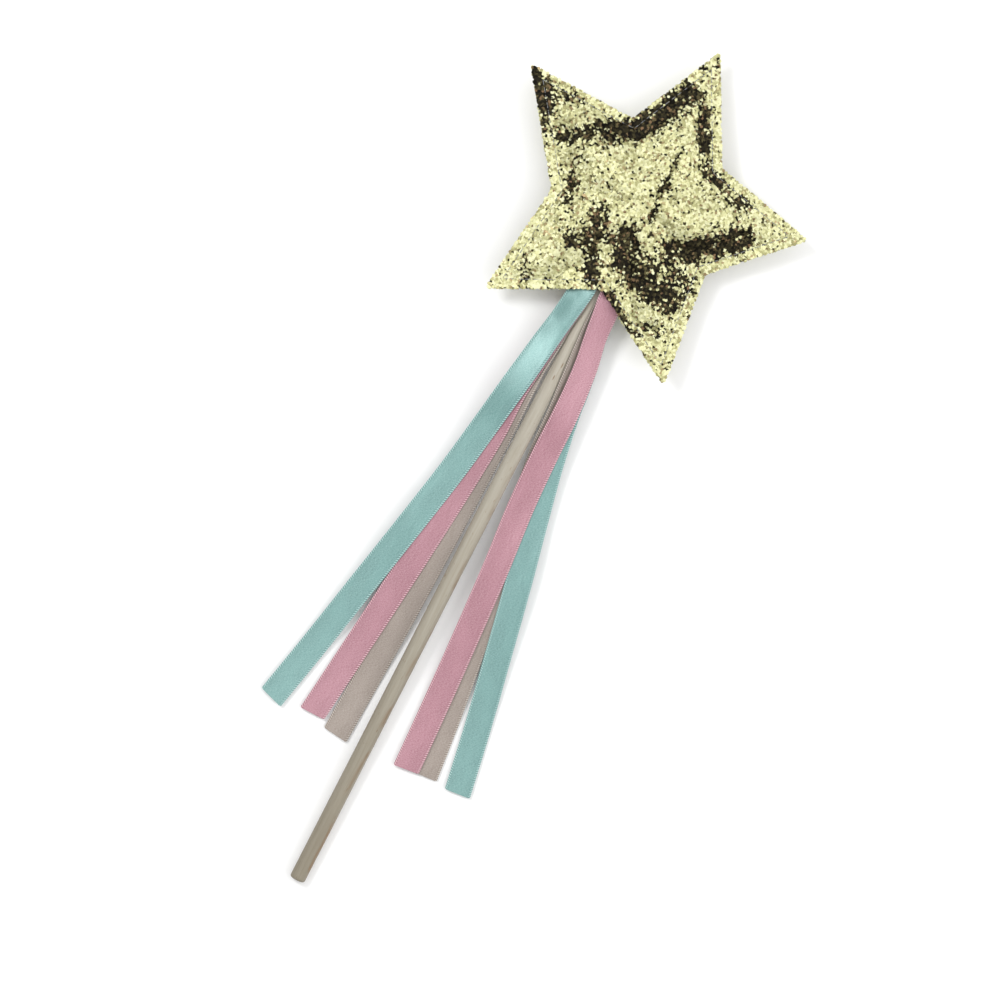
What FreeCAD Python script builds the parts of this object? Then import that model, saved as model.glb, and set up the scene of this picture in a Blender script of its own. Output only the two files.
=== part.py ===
"""Padded star wand: a stuffed glitter-cloth star on a wooden dowel, with six satin ribbon tails.

The wand lies on its back. +Y runs from the dowel's free end to the star's top tip, +Z is up from
the surface, and the origin is on that surface under the middle of the wand's outline.
Sizes are in millimetres. Places on the star are measured from the star's centre.
"""
import FreeCAD, Part
import Sketcher
import math
import os

doc = FreeCAD.newDocument("star_wand")
sheet = doc.addObject("Spreadsheet::Sheet", "Sizes")

# ---------------------------------------------------------------- driving dimensions
SIZES = [
    # whole wand
    ("overall_length", 350.0, "dowel's free end to the star's top tip"),
    ("seam_height", 11.0, "height of the star's seam above the surface"),
    # dowel
    ("dowel_radius", 3.0, "6 mm dowel"),
    ("dowel_inserted", 49.5, "how far the stick runs in from the notch"),
    ("dowel_inner_radius", 2.2, "end of the pared taper inside the star"),
    ("dowel_edge_round", 1.1, "rounding of the free end's edge"),
    ("taper_lead", 4.0, "taper starts this far outside the notch"),
    # star outline: reach and angle of each corner
    ("reach_top", 64.7, "top tip"),
    ("angle_top", 90.0, ""),
    ("reach_upper_right", 33.0, "notch"),
    ("angle_upper_right", 52.3, ""),
    ("reach_right", 63.4, "right tip"),
    ("angle_right", 15.5, ""),
    ("reach_lower_right", 34.9, "notch"),
    ("angle_lower_right", -20.1, ""),
    ("reach_foot_right", 67.3, "lower right tip"),
    ("angle_foot_right", -55.9, ""),
    ("reach_bottom", 34.8, "notch that the dowel and the ribbons leave by"),
    ("angle_bottom", -89.0, ""),
    ("reach_foot_left", 65.9, "lower left tip"),
    ("angle_foot_left", -125.3, ""),
    ("reach_lower_left", 34.0, "notch"),
    ("angle_lower_left", -163.8, ""),
    ("reach_left", 67.4, "upper left tip"),
    ("angle_left", 155.0, ""),
    ("reach_upper_left", 32.7, "notch"),
    ("angle_upper_left", 122.5, ""),
    # star padding; the back is as deep as the seam is high, so that it rests on the surface
    ("rim_inset", 4.4, "raw edge in to where the padded dome starts"),
    ("shoulder_inset", 9.5, "raw edge in to the shoulder of the dome"),
    ("crown_inset", 19.0, "raw edge in to the flat crown of the dome"),
    ("dome_height", 11.0, "front crown above the seam"),
    ("shoulder_fall", 3.6, "shoulder below the crown"),
    ("cover_thickness", 0.8, "glitter cloth with its backing"),
    ("filling_clearance", 0.2, "filling to cover"),
    # stitching
    ("stitch_inset", 3.3, "raw edge in to the stitched line"),
    ("thread_width", 0.35, "width of the stitched line"),
    ("thread_height", 0.3, "height of the thread above the cloth"),
    # mouth of the star
    ("mouth_side_room", 1.6, "cloth beside the ribbons"),
    ("mouth_depth", 32.0, "how far the opening runs in from the notch"),
    ("mouth_headroom", 0.4, "cloth above the top ribbon"),
    ("arch_clearance", 0.3, "back cover to dowel"),
    # glue that holds the dowel
    ("glue_radius", 4.6, ""),
    ("glue_length", 12.0, ""),
    ("glue_overhang", 3.0, "glue past the dowel's inner end"),
    # ribbons
    ("ribbon_width", 10.0, "satin ribbon"),
    ("ribbon_thickness", 0.3, ""),
    ("layer_gap", 0.2, "between ribbons that lie on each other"),
    ("ribbon_lift", 0.9, "lowest ribbon above the dowel, at the notch"),
    ("ribbon_slope", 0.30, "fall of a ribbon to the side, at the notch"),
    ("ribbon_overlap", 2.1, "how far a ribbon lies over the dowel, inside the star"),
    ("ribbon_rest", 0.3, "lowest ribbon above the surface, at its cut end"),
    ("tail_length", 194.2, "notch to the ribbons' cut ends"),
    ("notch_bend", 7.7, "notch to the bend that all ribbons share"),
    ("second_bend", 27.2, "notch to the bend of the middle and top ribbons"),
    ("third_bend", 47.2, "notch to the bend of the top ribbons"),
    ("bend_gap", 2.0, "room for a bend between two stretches of one ribbon"),
    ("taupe_loop", 18.8, "notch in to the far edge of the folded middle"),
    ("mint_loop", 12.8, ""),
    ("pink_loop", 24.8, ""),
]

for row, (alias, value, note) in enumerate(SIZES, start=1):
    sheet.set(f"A{row}", alias)
    sheet.set(f"B{row}", str(value))
    sheet.set(f"C{row}", note)
    sheet.setAlias(f"B{row}", alias)
doc.recompute()


def size(alias):
    """Value of one driving dimension."""
    return float(sheet.get(alias))


# The corners clockwise from the top: tip, notch, tip, notch and so on.
CORNERS = [
    "top", "upper_right", "right", "lower_right", "foot_right",
    "bottom", "foot_left", "lower_left", "left", "upper_left",
]

# Star's centre in the wand's frame: X = 0 is the wand's axis, and Y = 0 is half way along it.
STAR_Y = "(Sizes.overall_length / 2 - Sizes.reach_top * sin(Sizes.angle_top))"
NOTCH_Y = f"({STAR_Y} + Sizes.reach_bottom * sin(Sizes.angle_bottom))"

# How much smaller a star outline is when each edge steps in by one millimetre.
SHARE_PER_MM = "(1.1 / Sizes.reach_bottom)"


def place(thing, x="0", y="0", z="0"):
    """Tie an object's position to the sheet."""
    thing.setExpression("Placement.Base.x", x)
    thing.setExpression("Placement.Base.y", y)
    thing.setExpression("Placement.Base.z", z)


def corner_formulas(corner, share):
    reach = f"Sizes.reach_{corner} * ({share})"
    return (
        f"{reach} * cos(Sizes.angle_{corner})",
        f"{reach} * sin(Sizes.angle_{corner})",
    )


def draw_polygon(sketch, formulas, guesses):
    """Closed polygon whose corners follow formulas; the guesses only say which side of zero each is."""
    count = len(formulas)
    first = sketch.GeometryCount
    for i in range(count):
        start = FreeCAD.Vector(*guesses[i], 0)
        end = FreeCAD.Vector(*guesses[(i + 1) % count], 0)
        sketch.addGeometry(Part.LineSegment(start, end), False)
    for i in range(count):
        following = (i + 1) % count
        sketch.addConstraint(Sketcher.Constraint("Coincident", first + i, 2, first + following, 1))
    for i, (formula_x, formula_y) in enumerate(formulas):
        across = Sketcher.Constraint("DistanceX", -1, 1, first + i, 1, guesses[i][0])
        along = Sketcher.Constraint("DistanceY", -1, 1, first + i, 1, guesses[i][1])
        for constraint, formula in ((across, formula_x), (along, formula_y)):
            index = sketch.addConstraint(constraint)
            sketch.setExpression(f"Constraints[{index}]", formula)


def draw_star(sketch, share, rough_share):
    """Star outline at a share of its full size."""
    formulas = [corner_formulas(corner, share) for corner in CORNERS]
    guesses = []
    for corner in CORNERS:
        reach = size(f"reach_{corner}") * rough_share
        angle = math.radians(size(f"angle_{corner}"))
        guesses.append((reach * math.cos(angle), reach * math.sin(angle)))
    draw_polygon(sketch, formulas, guesses)


def star_sketch(name, share, height):
    """Free star outline that lies level at a height."""
    sketch = doc.addObject("Sketcher::SketchObject", name)
    draw_star(sketch, share, 0.5)
    place(sketch, y=STAR_Y, z=height)
    return sketch


def loft(name, sections):
    solid = doc.addObject("Part::Loft", name)
    solid.Sections = sections
    solid.Solid = True
    solid.Ruled = True
    return solid


def extrude(name, profile, direction, length):
    solid = doc.addObject("Part::Extrusion", name)
    solid.Base = profile
    solid.DirMode = "Custom"
    solid.Dir = FreeCAD.Vector(*direction)
    solid.Solid = True
    solid.setExpression("LengthFwd", length)
    return solid


def fuse(name, shapes):
    solid = doc.addObject("Part::MultiFuse", name)
    solid.Shapes = shapes
    return solid


def cut(name, base, tool):
    solid = doc.addObject("Part::Cut", name)
    solid.Base = base
    solid.Tool = tool
    return solid


def common(name, base, tool):
    solid = doc.addObject("Part::Common", name)
    solid.Base = base
    solid.Tool = tool
    return solid


def origin_plane(body, role):
    return [feature for feature in body.Origin.OriginFeatures if feature.Role == role][0]


def body_sketch(body, name, role):
    """Sketch that lies on one of its body's own origin planes."""
    sketch = body.newObject("Sketcher::SketchObject", name)
    sketch.AttachmentSupport = [(origin_plane(body, role), "")]
    sketch.MapMode = "FlatFace"
    return sketch


nodes = []


def finish_node(thing, label):
    """Give a sub-part its node name and list it for writing."""
    thing.Label = label
    nodes.append(thing)
    return thing


# ---------------------------------------------------------------- dowel
# Its axis meets the seam at the notch and comes down to the surface at the free end.
DOWEL_RISE = "(Sizes.seam_height - Sizes.dowel_radius)"
DOWEL_RUN = f"({NOTCH_Y} + Sizes.overall_length / 2)"
DOWEL_LENGTH = f"({DOWEL_RUN} + Sizes.dowel_inserted)"
DOWEL_TILT = f"(-90 deg + atan({DOWEL_RISE} / {DOWEL_RUN}))"


def lay_on_dowel_axis(thing, along):
    """Point an object's Z axis along the dowel and slide it a distance in from the free end."""
    thing.Placement.Rotation = FreeCAD.Rotation(FreeCAD.Vector(1, 0, 0), -89)
    thing.setExpression("Placement.Rotation.Angle", DOWEL_TILT)
    slope = f"atan({DOWEL_RISE} / {DOWEL_RUN})"
    y = f"-Sizes.overall_length / 2 + ({along}) * cos({slope})"
    z = f"Sizes.dowel_radius + ({along}) * sin({slope})"
    place(thing, y=y, z=z)


dowel = doc.addObject("PartDesign::Body", "Dowel")
profile = body_sketch(dowel, "DowelProfile", "XZ_Plane")
straight = f"({DOWEL_RUN} - Sizes.taper_lead)"
draw_polygon(
    profile,
    [
        ("0", "0"),
        ("Sizes.dowel_radius", "0"),
        ("Sizes.dowel_radius", straight),
        ("Sizes.dowel_inner_radius", DOWEL_LENGTH),
        ("0", DOWEL_LENGTH),
    ],
    [(0, 0), (3, 0), (3, 240), (2, 300), (0, 300)],
)
turned = dowel.newObject("PartDesign::Revolution", "DowelTurned")
turned.Profile = profile
turned.ReferenceAxis = (profile, ["V_Axis"])
turned.Angle = 360
doc.recompute()
rim = [
    f"Edge{i + 1}" for i, edge in enumerate(turned.Shape.Edges)
    if abs(edge.BoundBox.ZMax) < 0.01 and edge.Curve.TypeId == "Part::GeomCircle"
]
rounded = dowel.newObject("PartDesign::Fillet", "DowelRounded")
rounded.Base = (turned, rim)
rounded.setExpression("Radius", "Sizes.dowel_edge_round")
lay_on_dowel_axis(dowel, "0")
finish_node(dowel, "dowel")


# ---------------------------------------------------------------- star covers
def inset_share(inset):
    """Share of the outline that lies a distance in from the raw edge."""
    return f"1 - {SHARE_PER_MM} * ({inset})"


def dome_sections(name, side, thinner):
    """Star outlines from the seam to the crown; side is 1 above the seam and -1 below it."""
    crown = "Sizes.dome_height" if side > 0 else "Sizes.seam_height"
    sections = []
    for part, height in (
        ("rim", "0"),
        ("shoulder", f"{crown} - Sizes.shoulder_fall - ({thinner})"),
        ("crown", f"{crown} - ({thinner})"),
    ):
        level = f"Sizes.seam_height + {side} * ({height})"
        share = inset_share(f"Sizes.{part}_inset + {thinner}")
        sections.append(star_sketch(f"{name}{part.capitalize()}", share, level))
    return sections


def dome(name, side, thinner):
    """Closed half of the padded star, or its hollow when it is thinner by the cloth."""
    return loft(name, dome_sections(name, side, thinner))


LAYER = "(Sizes.ribbon_thickness + Sizes.layer_gap)"
CROWN = "(Sizes.seam_height + Sizes.dowel_radius + Sizes.ribbon_lift)"
HALF_FLAT = "(Sizes.ribbon_width / 2 / sqrt(1 + Sizes.ribbon_slope ^ 2))"
FOLD_SPREAD = "(Sizes.dowel_radius + Sizes.ribbon_width / 2 - Sizes.ribbon_overlap)"
INNER_EDGE = f"({FOLD_SPREAD} - {HALF_FLAT})"
OUTER_EDGE = f"({FOLD_SPREAD} + {HALF_FLAT})"
MOUTH_HALF = f"({OUTER_EDGE} + Sizes.mouth_side_room)"


def mouth_profile(name, grow, foot):
    """Roof-shaped section of the star's mouth, in the XZ plane, stood at the notch."""
    top = f"({CROWN} + 3 * {LAYER} + Sizes.mouth_headroom + {grow})"
    half = f"({MOUTH_HALF} + {grow})"
    eaves = f"({top} - Sizes.ribbon_slope * {half})"
    sketch = doc.addObject("Sketcher::SketchObject", name)
    draw_polygon(
        sketch,
        [
            (f"-{half}", foot),
            (f"-{half}", eaves),
            ("0", top),
            (half, eaves),
            (half, foot),
        ],
        [(-12, 11), (-12, 13), (0, 17), (12, 13), (12, 11)],
    )
    sketch.Placement.Rotation = FreeCAD.Rotation(FreeCAD.Vector(1, 0, 0), 90)
    place(sketch, y=f"{NOTCH_Y} + Sizes.mouth_depth")
    return sketch


RUN_OUT = "(Sizes.mouth_depth + 20)"
outline = star_sketch("Outline", "1", "0")
outline_prism = extrude("OutlinePrism", outline, (0, 0, 1), "3 * Sizes.seam_height")

# Front cover: seam allowance, dome and the cloth raised over the ribbons, less its hollow.
front_edge = star_sketch("FrontEdge", "1", "Sizes.seam_height")
front_flange = extrude("FrontFlange", front_edge, (0, 0, 1), "Sizes.cover_thickness")
front_dome = dome("FrontDome", 1, "0")
hood_outer = extrude(
    "HoodOuter", mouth_profile("HoodOuterProfile", "Sizes.cover_thickness", "Sizes.seam_height"),
    (0, -1, 0), RUN_OUT,
)
hood = common("Hood", hood_outer, outline_prism)
front_block = fuse("FrontBlock", [front_flange, front_dome, hood])
front_hollow = dome("FrontHollow", 1, "Sizes.cover_thickness")
mouth = extrude(
    "Mouth", mouth_profile("MouthProfile", "0", "Sizes.seam_height - 1"), (0, -1, 0), RUN_OUT,
)
front_space = fuse("FrontSpace", [front_hollow, mouth])
front_cover = cut("FrontCover", front_block, front_space)
finish_node(front_cover, "star_front_cover")

# Back cover: the same, with an arch of cloth under the dowel in place of the raised mouth.
back_edge = star_sketch("BackEdge", "1", "Sizes.seam_height - Sizes.cover_thickness")
back_flange = extrude("BackFlange", back_edge, (0, 0, 1), "Sizes.cover_thickness")
back_dome = dome("BackDome", -1, "0")


def dowel_tunnel(name, clearance, start, length):
    """Round bar on the dowel's axis, as the space or the cloth around the dowel."""
    bar = doc.addObject("Part::Cylinder", name)
    bar.setExpression("Radius", f"Sizes.dowel_radius + {clearance}")
    bar.setExpression("Height", length)
    lay_on_dowel_axis(bar, start)
    return bar


BELOW_SEAM = doc.addObject("Part::Box", "BelowSeam")
BELOW_SEAM.setExpression("Length", "Sizes.overall_length")
BELOW_SEAM.setExpression("Width", "Sizes.overall_length")
BELOW_SEAM.setExpression("Height", "Sizes.seam_height")
place(BELOW_SEAM, "-Sizes.overall_length / 2", "-Sizes.overall_length / 2")

arch_bar = dowel_tunnel(
    "ArchBar", "Sizes.arch_clearance + Sizes.cover_thickness", f"{DOWEL_RUN} - 8", "24",
)
arch_in_outline = common("ArchInOutline", arch_bar, outline_prism)
arch = common("Arch", arch_in_outline, BELOW_SEAM)
back_block = fuse("BackBlock", [back_flange, back_dome, arch])
back_hollow = dome("BackHollow", -1, "Sizes.cover_thickness")
back_tunnel = dowel_tunnel("BackTunnel", "Sizes.arch_clearance", f"{DOWEL_RUN} - 20", "60")
back_space = fuse("BackSpace", [back_hollow, back_tunnel])
back_cover = cut("BackCover", back_block, back_space)
finish_node(back_cover, "star_back_cover")


# ---------------------------------------------------------------- stitching
def stitched_line(name, label, level, mouth_half):
    """Thread that follows the outline on one side of the seam and stops at the mouth."""
    body = doc.addObject("PartDesign::Body", name)
    ring = body_sketch(body, f"{name}Line", "XY_Plane")
    draw_star(ring, inset_share("Sizes.stitch_inset"), 0.9)
    draw_star(ring, inset_share("Sizes.stitch_inset + Sizes.thread_width"), 0.85)
    pad = body.newObject("PartDesign::Pad", f"{name}Pad")
    pad.Profile = ring
    pad.setExpression("Length", "Sizes.thread_height")
    gap = body_sketch(body, f"{name}Gap", "XY_Plane")
    draw_polygon(
        gap,
        [
            (f"-{mouth_half}", f"-Sizes.reach_bottom - {MOUTH_HALF}"),
            (mouth_half, f"-Sizes.reach_bottom - {MOUTH_HALF}"),
            (mouth_half, "-Sizes.reach_bottom / 2"),
            (f"-{mouth_half}", "-Sizes.reach_bottom / 2"),
        ],
        [(-9, -47), (9, -47), (9, -17), (-9, -17)],
    )
    opening = body.newObject("PartDesign::Pocket", f"{name}Opening")
    opening.Profile = gap
    opening.Type = "ThroughAll"
    opening.Midplane = True
    place(body, y=STAR_Y, z=level)
    finish_node(body, label)
    doc.recompute()
    if opening.Shape.Volume > pad.Shape.Volume * 0.99:
        raise RuntimeError(f"{label} was not opened at the mouth")


stitched_line(
    "NeedleThread", "needle_thread", "Sizes.seam_height + Sizes.cover_thickness",
    f"({MOUTH_HALF} + Sizes.cover_thickness + Sizes.thread_width)",
)
stitched_line(
    "BobbinThread", "bobbin_thread",
    "Sizes.seam_height - Sizes.cover_thickness - Sizes.thread_height",
    "(Sizes.dowel_radius + Sizes.arch_clearance + Sizes.cover_thickness + Sizes.thread_width)",
)

# ---------------------------------------------------------------- glue and filling
GLUE_START = f"({DOWEL_LENGTH} + Sizes.glue_overhang - Sizes.glue_length)"


def glue_bar(name, clearance):
    bar = doc.addObject("Part::Cylinder", name)
    bar.setExpression("Radius", f"Sizes.glue_radius + {clearance}")
    bar.setExpression("Height", f"Sizes.glue_length + 2 * {clearance}")
    lay_on_dowel_axis(bar, f"{GLUE_START} - {clearance}")
    return bar


glue = cut("Glue", glue_bar("GlueBar", "0"), dowel)
finish_node(glue, "glue_bead")


INSIDE = "Sizes.cover_thickness + Sizes.filling_clearance"
back_sections = dome_sections("FillBack", -1, INSIDE)
front_sections = dome_sections("FillFront", 1, INSIDE)
filling_block = loft("FillingBlock", back_sections[:0:-1] + front_sections)
filling_tunnel = dowel_tunnel("FillingTunnel", "Sizes.filling_clearance", f"{DOWEL_RUN} - 20", "90")
filling_space = fuse("FillingSpace", [
    extrude(
        "FillingMouth", mouth_profile("FillingMouthProfile", "0", "Sizes.seam_height - 1"),
        (0, -1, 0), RUN_OUT,
    ),
    filling_tunnel,
    glue_bar("GlueRoom", "Sizes.filling_clearance"),
])
filling = cut("Filling", filling_block, filling_space)
finish_node(filling, "star_filling")

# ---------------------------------------------------------------- ribbons inside the star
# Which layer each colour lies in on each side; 0 is the lowest.
LAYERS = {
    "taupe": {"left": 0, "right": 0},
    "mint": {"left": 2, "right": 1},
    "pink": {"left": 1, "right": 2},
}


def ribbon_fold(colour):
    """Ribbon folded in half over the dowel: two legs that leave the star, joined by a loop."""
    left = LAYERS[colour]["left"]
    right = LAYERS[colour]["right"]
    body = doc.addObject("PartDesign::Body", f"{colour.capitalize()}Fold")
    section = body_sketch(body, f"{colour.capitalize()}Section", "XZ_Plane")
    crown_left = f"({CROWN} + {left} * {LAYER})"
    crown_right = f"({CROWN} + {right} * {LAYER})"
    low = [
        (f"-{OUTER_EDGE}", f"{crown_left} - Sizes.ribbon_slope * {OUTER_EDGE}"),
        (f"-{INNER_EDGE}", f"{crown_left} - Sizes.ribbon_slope * {INNER_EDGE}"),
        (INNER_EDGE, f"{crown_right} - Sizes.ribbon_slope * {INNER_EDGE}"),
        (OUTER_EDGE, f"{crown_right} - Sizes.ribbon_slope * {OUTER_EDGE}"),
    ]
    high = [(x, f"{z} + Sizes.ribbon_thickness") for x, z in reversed(low)]
    draw_polygon(
        section, low + high,
        [(-10, 12), (-1, 14), (1, 14), (10, 12), (10, 13), (1, 15), (-1, 15), (-10, 13)],
    )
    strip = body.newObject("PartDesign::Pad", f"{colour.capitalize()}Strip")
    strip.Profile = section
    depth = f"(Sizes.notch_bend - Sizes.bend_gap / 2 + Sizes.{colour}_loop)"
    strip.setExpression("Length", depth)
    slot = body_sketch(body, f"{colour.capitalize()}Slot", "XY_Plane")
    draw_polygon(
        slot,
        [
            (f"-{INNER_EDGE}", f"-{depth} - 1"),
            (INNER_EDGE, f"-{depth} - 1"),
            (INNER_EDGE, "-Sizes.ribbon_width"),
            (f"-{INNER_EDGE}", "-Sizes.ribbon_width"),
        ],
        [(-1, -30), (1, -30), (1, -10), (-1, -10)],
    )
    legs = body.newObject("PartDesign::Pocket", f"{colour.capitalize()}Legs")
    legs.Profile = slot
    legs.Type = "ThroughAll"
    legs.Midplane = True
    place(body, y=f"{NOTCH_Y} + Sizes.{colour}_loop")
    finish_node(body, f"{colour}_fold")
    doc.recompute()
    if legs.Shape.Volume > strip.Shape.Volume * 0.99:
        raise RuntimeError(f"{colour}_fold has no gap between its legs")


for colour in LAYERS:
    ribbon_fold(colour)

# ---------------------------------------------------------------- ribbon tails
# Each stop is a distance down the wand from the notch, and the last one is the cut end. At each
# stop: how much of its height at the notch the lowest ribbon still has, its fall per millimetre
# to the side, and how far each tail's inner edge is from the side of the dowel. An inner edge
# below zero lies over the dowel.
STOPS = [7.2, 27.2, 47.2, 65.2, 85.2, 110.2, 140.2, 170.2, size("tail_length")]
HEIGHT_LEFT = [1.0, 0.96, 0.81, 0.58, 0.34, 0.13, 0.02, 0.09, 0.0]
SLOPE_LEFT = [1.0, 1.0, 0.67, 0.27, 0.0, 0.0, 0.0, 0.0, 0.0]
INNER_EDGES = {
    "mint_left": [-2.1, 1.1, 4.2, 6.8, 10.0, 14.9, 21.2, 27.5, 32.5],
    "pink_left": [-2.0, 0.0, 2.3, 3.3, 4.5, 6.6, 9.7, 13.0, 15.8],
    "taupe_left": [-1.9, -0.1, 1.0, 1.0, 1.1, 1.4, 1.9, 3.0, 4.1],
    "pink_right": [-1.9, 0.3, 2.0, 3.1, 4.4, 6.1, 7.7, 8.9, 9.9],
    "mint_right": [-1.9, 0.4, 2.8, 5.6, 9.6, 15.2, 21.2, 26.7, 30.9],
    "taupe_right": [-2.1, -0.8, 1.1, 2.2, 3.9, 7.1, 10.9, 14.7, 17.1],
}
BENDS = [size("notch_bend"), size("second_bend"), size("third_bend")]
STRETCHES = ["root", "middle", "tail"]


def between(values, stop):
    """Value at a distance down the wand, straight between the stops on either side."""
    for i in range(len(STOPS) - 1):
        if stop <= STOPS[i + 1]:
            part = (stop - STOPS[i]) / (STOPS[i + 1] - STOPS[i])
            return values[i] + part * (values[i + 1] - values[i])
    return values[-1]


def cross_section(tail, stop, layer):
    """Thin four-cornered wire across one ribbon."""
    side = -1 if tail.endswith("left") else 1
    slope = size("ribbon_slope") * between(SLOPE_LEFT, stop)
    half = size("ribbon_width") / 2
    middle = size("dowel_radius") + half + between(INNER_EDGES[tail], stop)
    half = half / math.sqrt(1 + slope ** 2)
    rest = size("ribbon_rest")
    crown = size("seam_height") + size("dowel_radius") + size("ribbon_lift")
    crown = rest + (crown - rest) * between(HEIGHT_LEFT, stop)
    lift = layer * (size("ribbon_thickness") + size("layer_gap"))
    corners = []
    for reach, rise in (
        (middle - half, 0.0),
        (middle + half, 0.0),
        (middle + half, size("ribbon_thickness")),
        (middle - half, size("ribbon_thickness")),
    ):
        height = crown - slope * reach + lift + rise
        corners.append(FreeCAD.Vector(side * reach, -stop, height))
    return Part.makePolygon(corners + corners[:1])


def ribbon_stretch(tail, label, start, end, layer):
    """Solid piece of one ribbon between two distances down the wand."""
    stops = [start] + [stop for stop in STOPS if start < stop < end] + [end]
    wires = [cross_section(tail, stop, layer) for stop in stops]
    piece = doc.addObject("Part::Feature", label.title().replace("_", ""))
    piece.Shape = Part.makeLoft(wires, True, True)
    place(piece, y=NOTCH_Y)
    finish_node(piece, label)


def ribbon_tail(tail):
    """A ribbon bends once for each ribbon that it lies on and once at the notch."""
    colour, side = tail.split("_")
    layer = LAYERS[colour][side]
    half_gap = size("bend_gap") / 2
    for bend in range(layer + 1):
        start = BENDS[bend] + half_gap
        last = bend == layer
        end = size("tail_length") if last else BENDS[bend + 1] - half_gap
        stretch = "tail" if last else STRETCHES[bend]
        ribbon_stretch(tail, f"{tail}_{stretch}", start, end, layer)


for tail in INNER_EDGES:
    ribbon_tail(tail)

# ---------------------------------------------------------------- checks and files
doc.recompute()
for thing in doc.Objects:
    if "Invalid" in thing.State or "Error" in thing.State:
        raise RuntimeError(f"{thing.Label} failed: {thing.State}")
for node in nodes:
    if node.Shape.isNull() or not node.Shape.isValid():
        raise RuntimeError(f"{node.Label} has no valid shape")

os.makedirs("parts", exist_ok=True)
for node in nodes:
    node.Shape.exportStep(f"parts/{node.Label}.step")
    print(f"{node.Label}: {len(node.Shape.Solids)} solid(s), {node.Shape.Volume:.1f} mm3")
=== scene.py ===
# %% [markdown]
# # A padded glitter star on a wooden wand, with three ribbons
#
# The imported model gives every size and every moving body. This lesson dresses it: a stuffed star
# of chunky glitter cloth, a row of topstitching, a bare birch dowel, and three satin ribbons that
# are folded over the dowel and fan out from the notch of the star. All lengths are in metres, in
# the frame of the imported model: the wand lies along Y, the star is at the +Y end, and Z is up.

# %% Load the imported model
import math

import bpy
import numpy as np
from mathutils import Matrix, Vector, noise
from mathutils.bvhtree import BVHTree


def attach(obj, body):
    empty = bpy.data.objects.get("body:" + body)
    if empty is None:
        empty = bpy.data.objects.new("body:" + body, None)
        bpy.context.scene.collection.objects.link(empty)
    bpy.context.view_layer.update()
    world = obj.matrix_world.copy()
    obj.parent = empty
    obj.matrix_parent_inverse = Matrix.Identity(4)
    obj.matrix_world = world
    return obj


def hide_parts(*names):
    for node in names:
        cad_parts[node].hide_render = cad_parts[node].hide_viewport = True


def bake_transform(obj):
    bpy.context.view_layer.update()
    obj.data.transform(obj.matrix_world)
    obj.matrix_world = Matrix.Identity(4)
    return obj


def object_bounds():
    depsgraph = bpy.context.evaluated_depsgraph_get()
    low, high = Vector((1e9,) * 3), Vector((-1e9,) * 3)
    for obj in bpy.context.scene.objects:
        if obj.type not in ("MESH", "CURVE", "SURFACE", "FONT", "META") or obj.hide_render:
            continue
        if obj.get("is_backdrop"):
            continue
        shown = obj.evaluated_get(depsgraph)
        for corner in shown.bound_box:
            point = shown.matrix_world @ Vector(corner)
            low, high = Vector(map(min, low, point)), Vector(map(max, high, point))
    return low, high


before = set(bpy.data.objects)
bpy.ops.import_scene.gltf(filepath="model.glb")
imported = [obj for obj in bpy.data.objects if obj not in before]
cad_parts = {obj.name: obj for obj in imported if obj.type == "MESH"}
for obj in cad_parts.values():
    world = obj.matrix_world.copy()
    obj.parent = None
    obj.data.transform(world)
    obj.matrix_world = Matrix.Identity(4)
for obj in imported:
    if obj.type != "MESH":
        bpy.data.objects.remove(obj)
cad_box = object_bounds()
MM = 0.001

# %% [markdown]
# ## Small helpers
#
# Operators act on whatever is selected, so `pick` first lets go of everything. `points_of` and
# `set_points` read and write all the points of a mesh at once, which is how the soft pieces are
# shaped here. `settle` leaves a finished piece at the origin, with its place in its mesh.

# %% Helpers for picking and shaping
def pick(*pieces):
    """Selects only these pieces. The last one is active."""
    bpy.ops.object.select_all(action="DESELECT")
    for piece in pieces:
        piece.select_set(True)
    bpy.context.view_layer.objects.active = pieces[-1]


def points_of(piece):
    flat = np.empty(len(piece.data.vertices) * 3)
    piece.data.vertices.foreach_get("co", flat)
    return flat.reshape(-1, 3)


def set_points(piece, points):
    piece.data.vertices.foreach_set("co", points.ravel())
    piece.data.update()


def settle(piece, name):
    """Names a piece and moves its place, turn and size into its mesh."""
    pick(piece)
    bpy.ops.object.transform_apply(location=True, rotation=True, scale=True)
    piece.name = name
    piece.data.name = name
    return piece


def apply_modifier(piece, kind, **settings):
    """Adds a modifier, sets it and applies it."""
    pick(piece)
    modifier = piece.modifiers.new(kind.title(), kind)
    for name, value in settings.items():
        setattr(modifier, name, value)
    bpy.ops.object.modifier_apply(modifier=modifier.name)


def triangles(piece):
    piece.data.calc_loop_triangles()
    return len(piece.data.loop_triangles)


# %% [markdown]
# ## Camera, floor and light
#
# The wand is shown from straight above, turned so that the star is at the upper right. A long lens
# keeps it free of perspective. A softbox at the upper left gives the soft shadow, and a larger one
# low on the right brightens what leans that way. The rest of the light comes from the studio
# itself: bright overhead and darker all round, as under a light tent, so that foil and satin have
# something to reflect and turn darker where they slope away.

# %% Camera
# How far the camera is turned; metres of height; metres shown; millimetres of sensor.
TURN = math.radians(27.1)
VIEW_CENTRE = Vector((3.0, -12.4, 0)) * MM
CAMERA_HEIGHT = 2.5
FIELD = 0.378
SENSOR = 36

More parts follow.
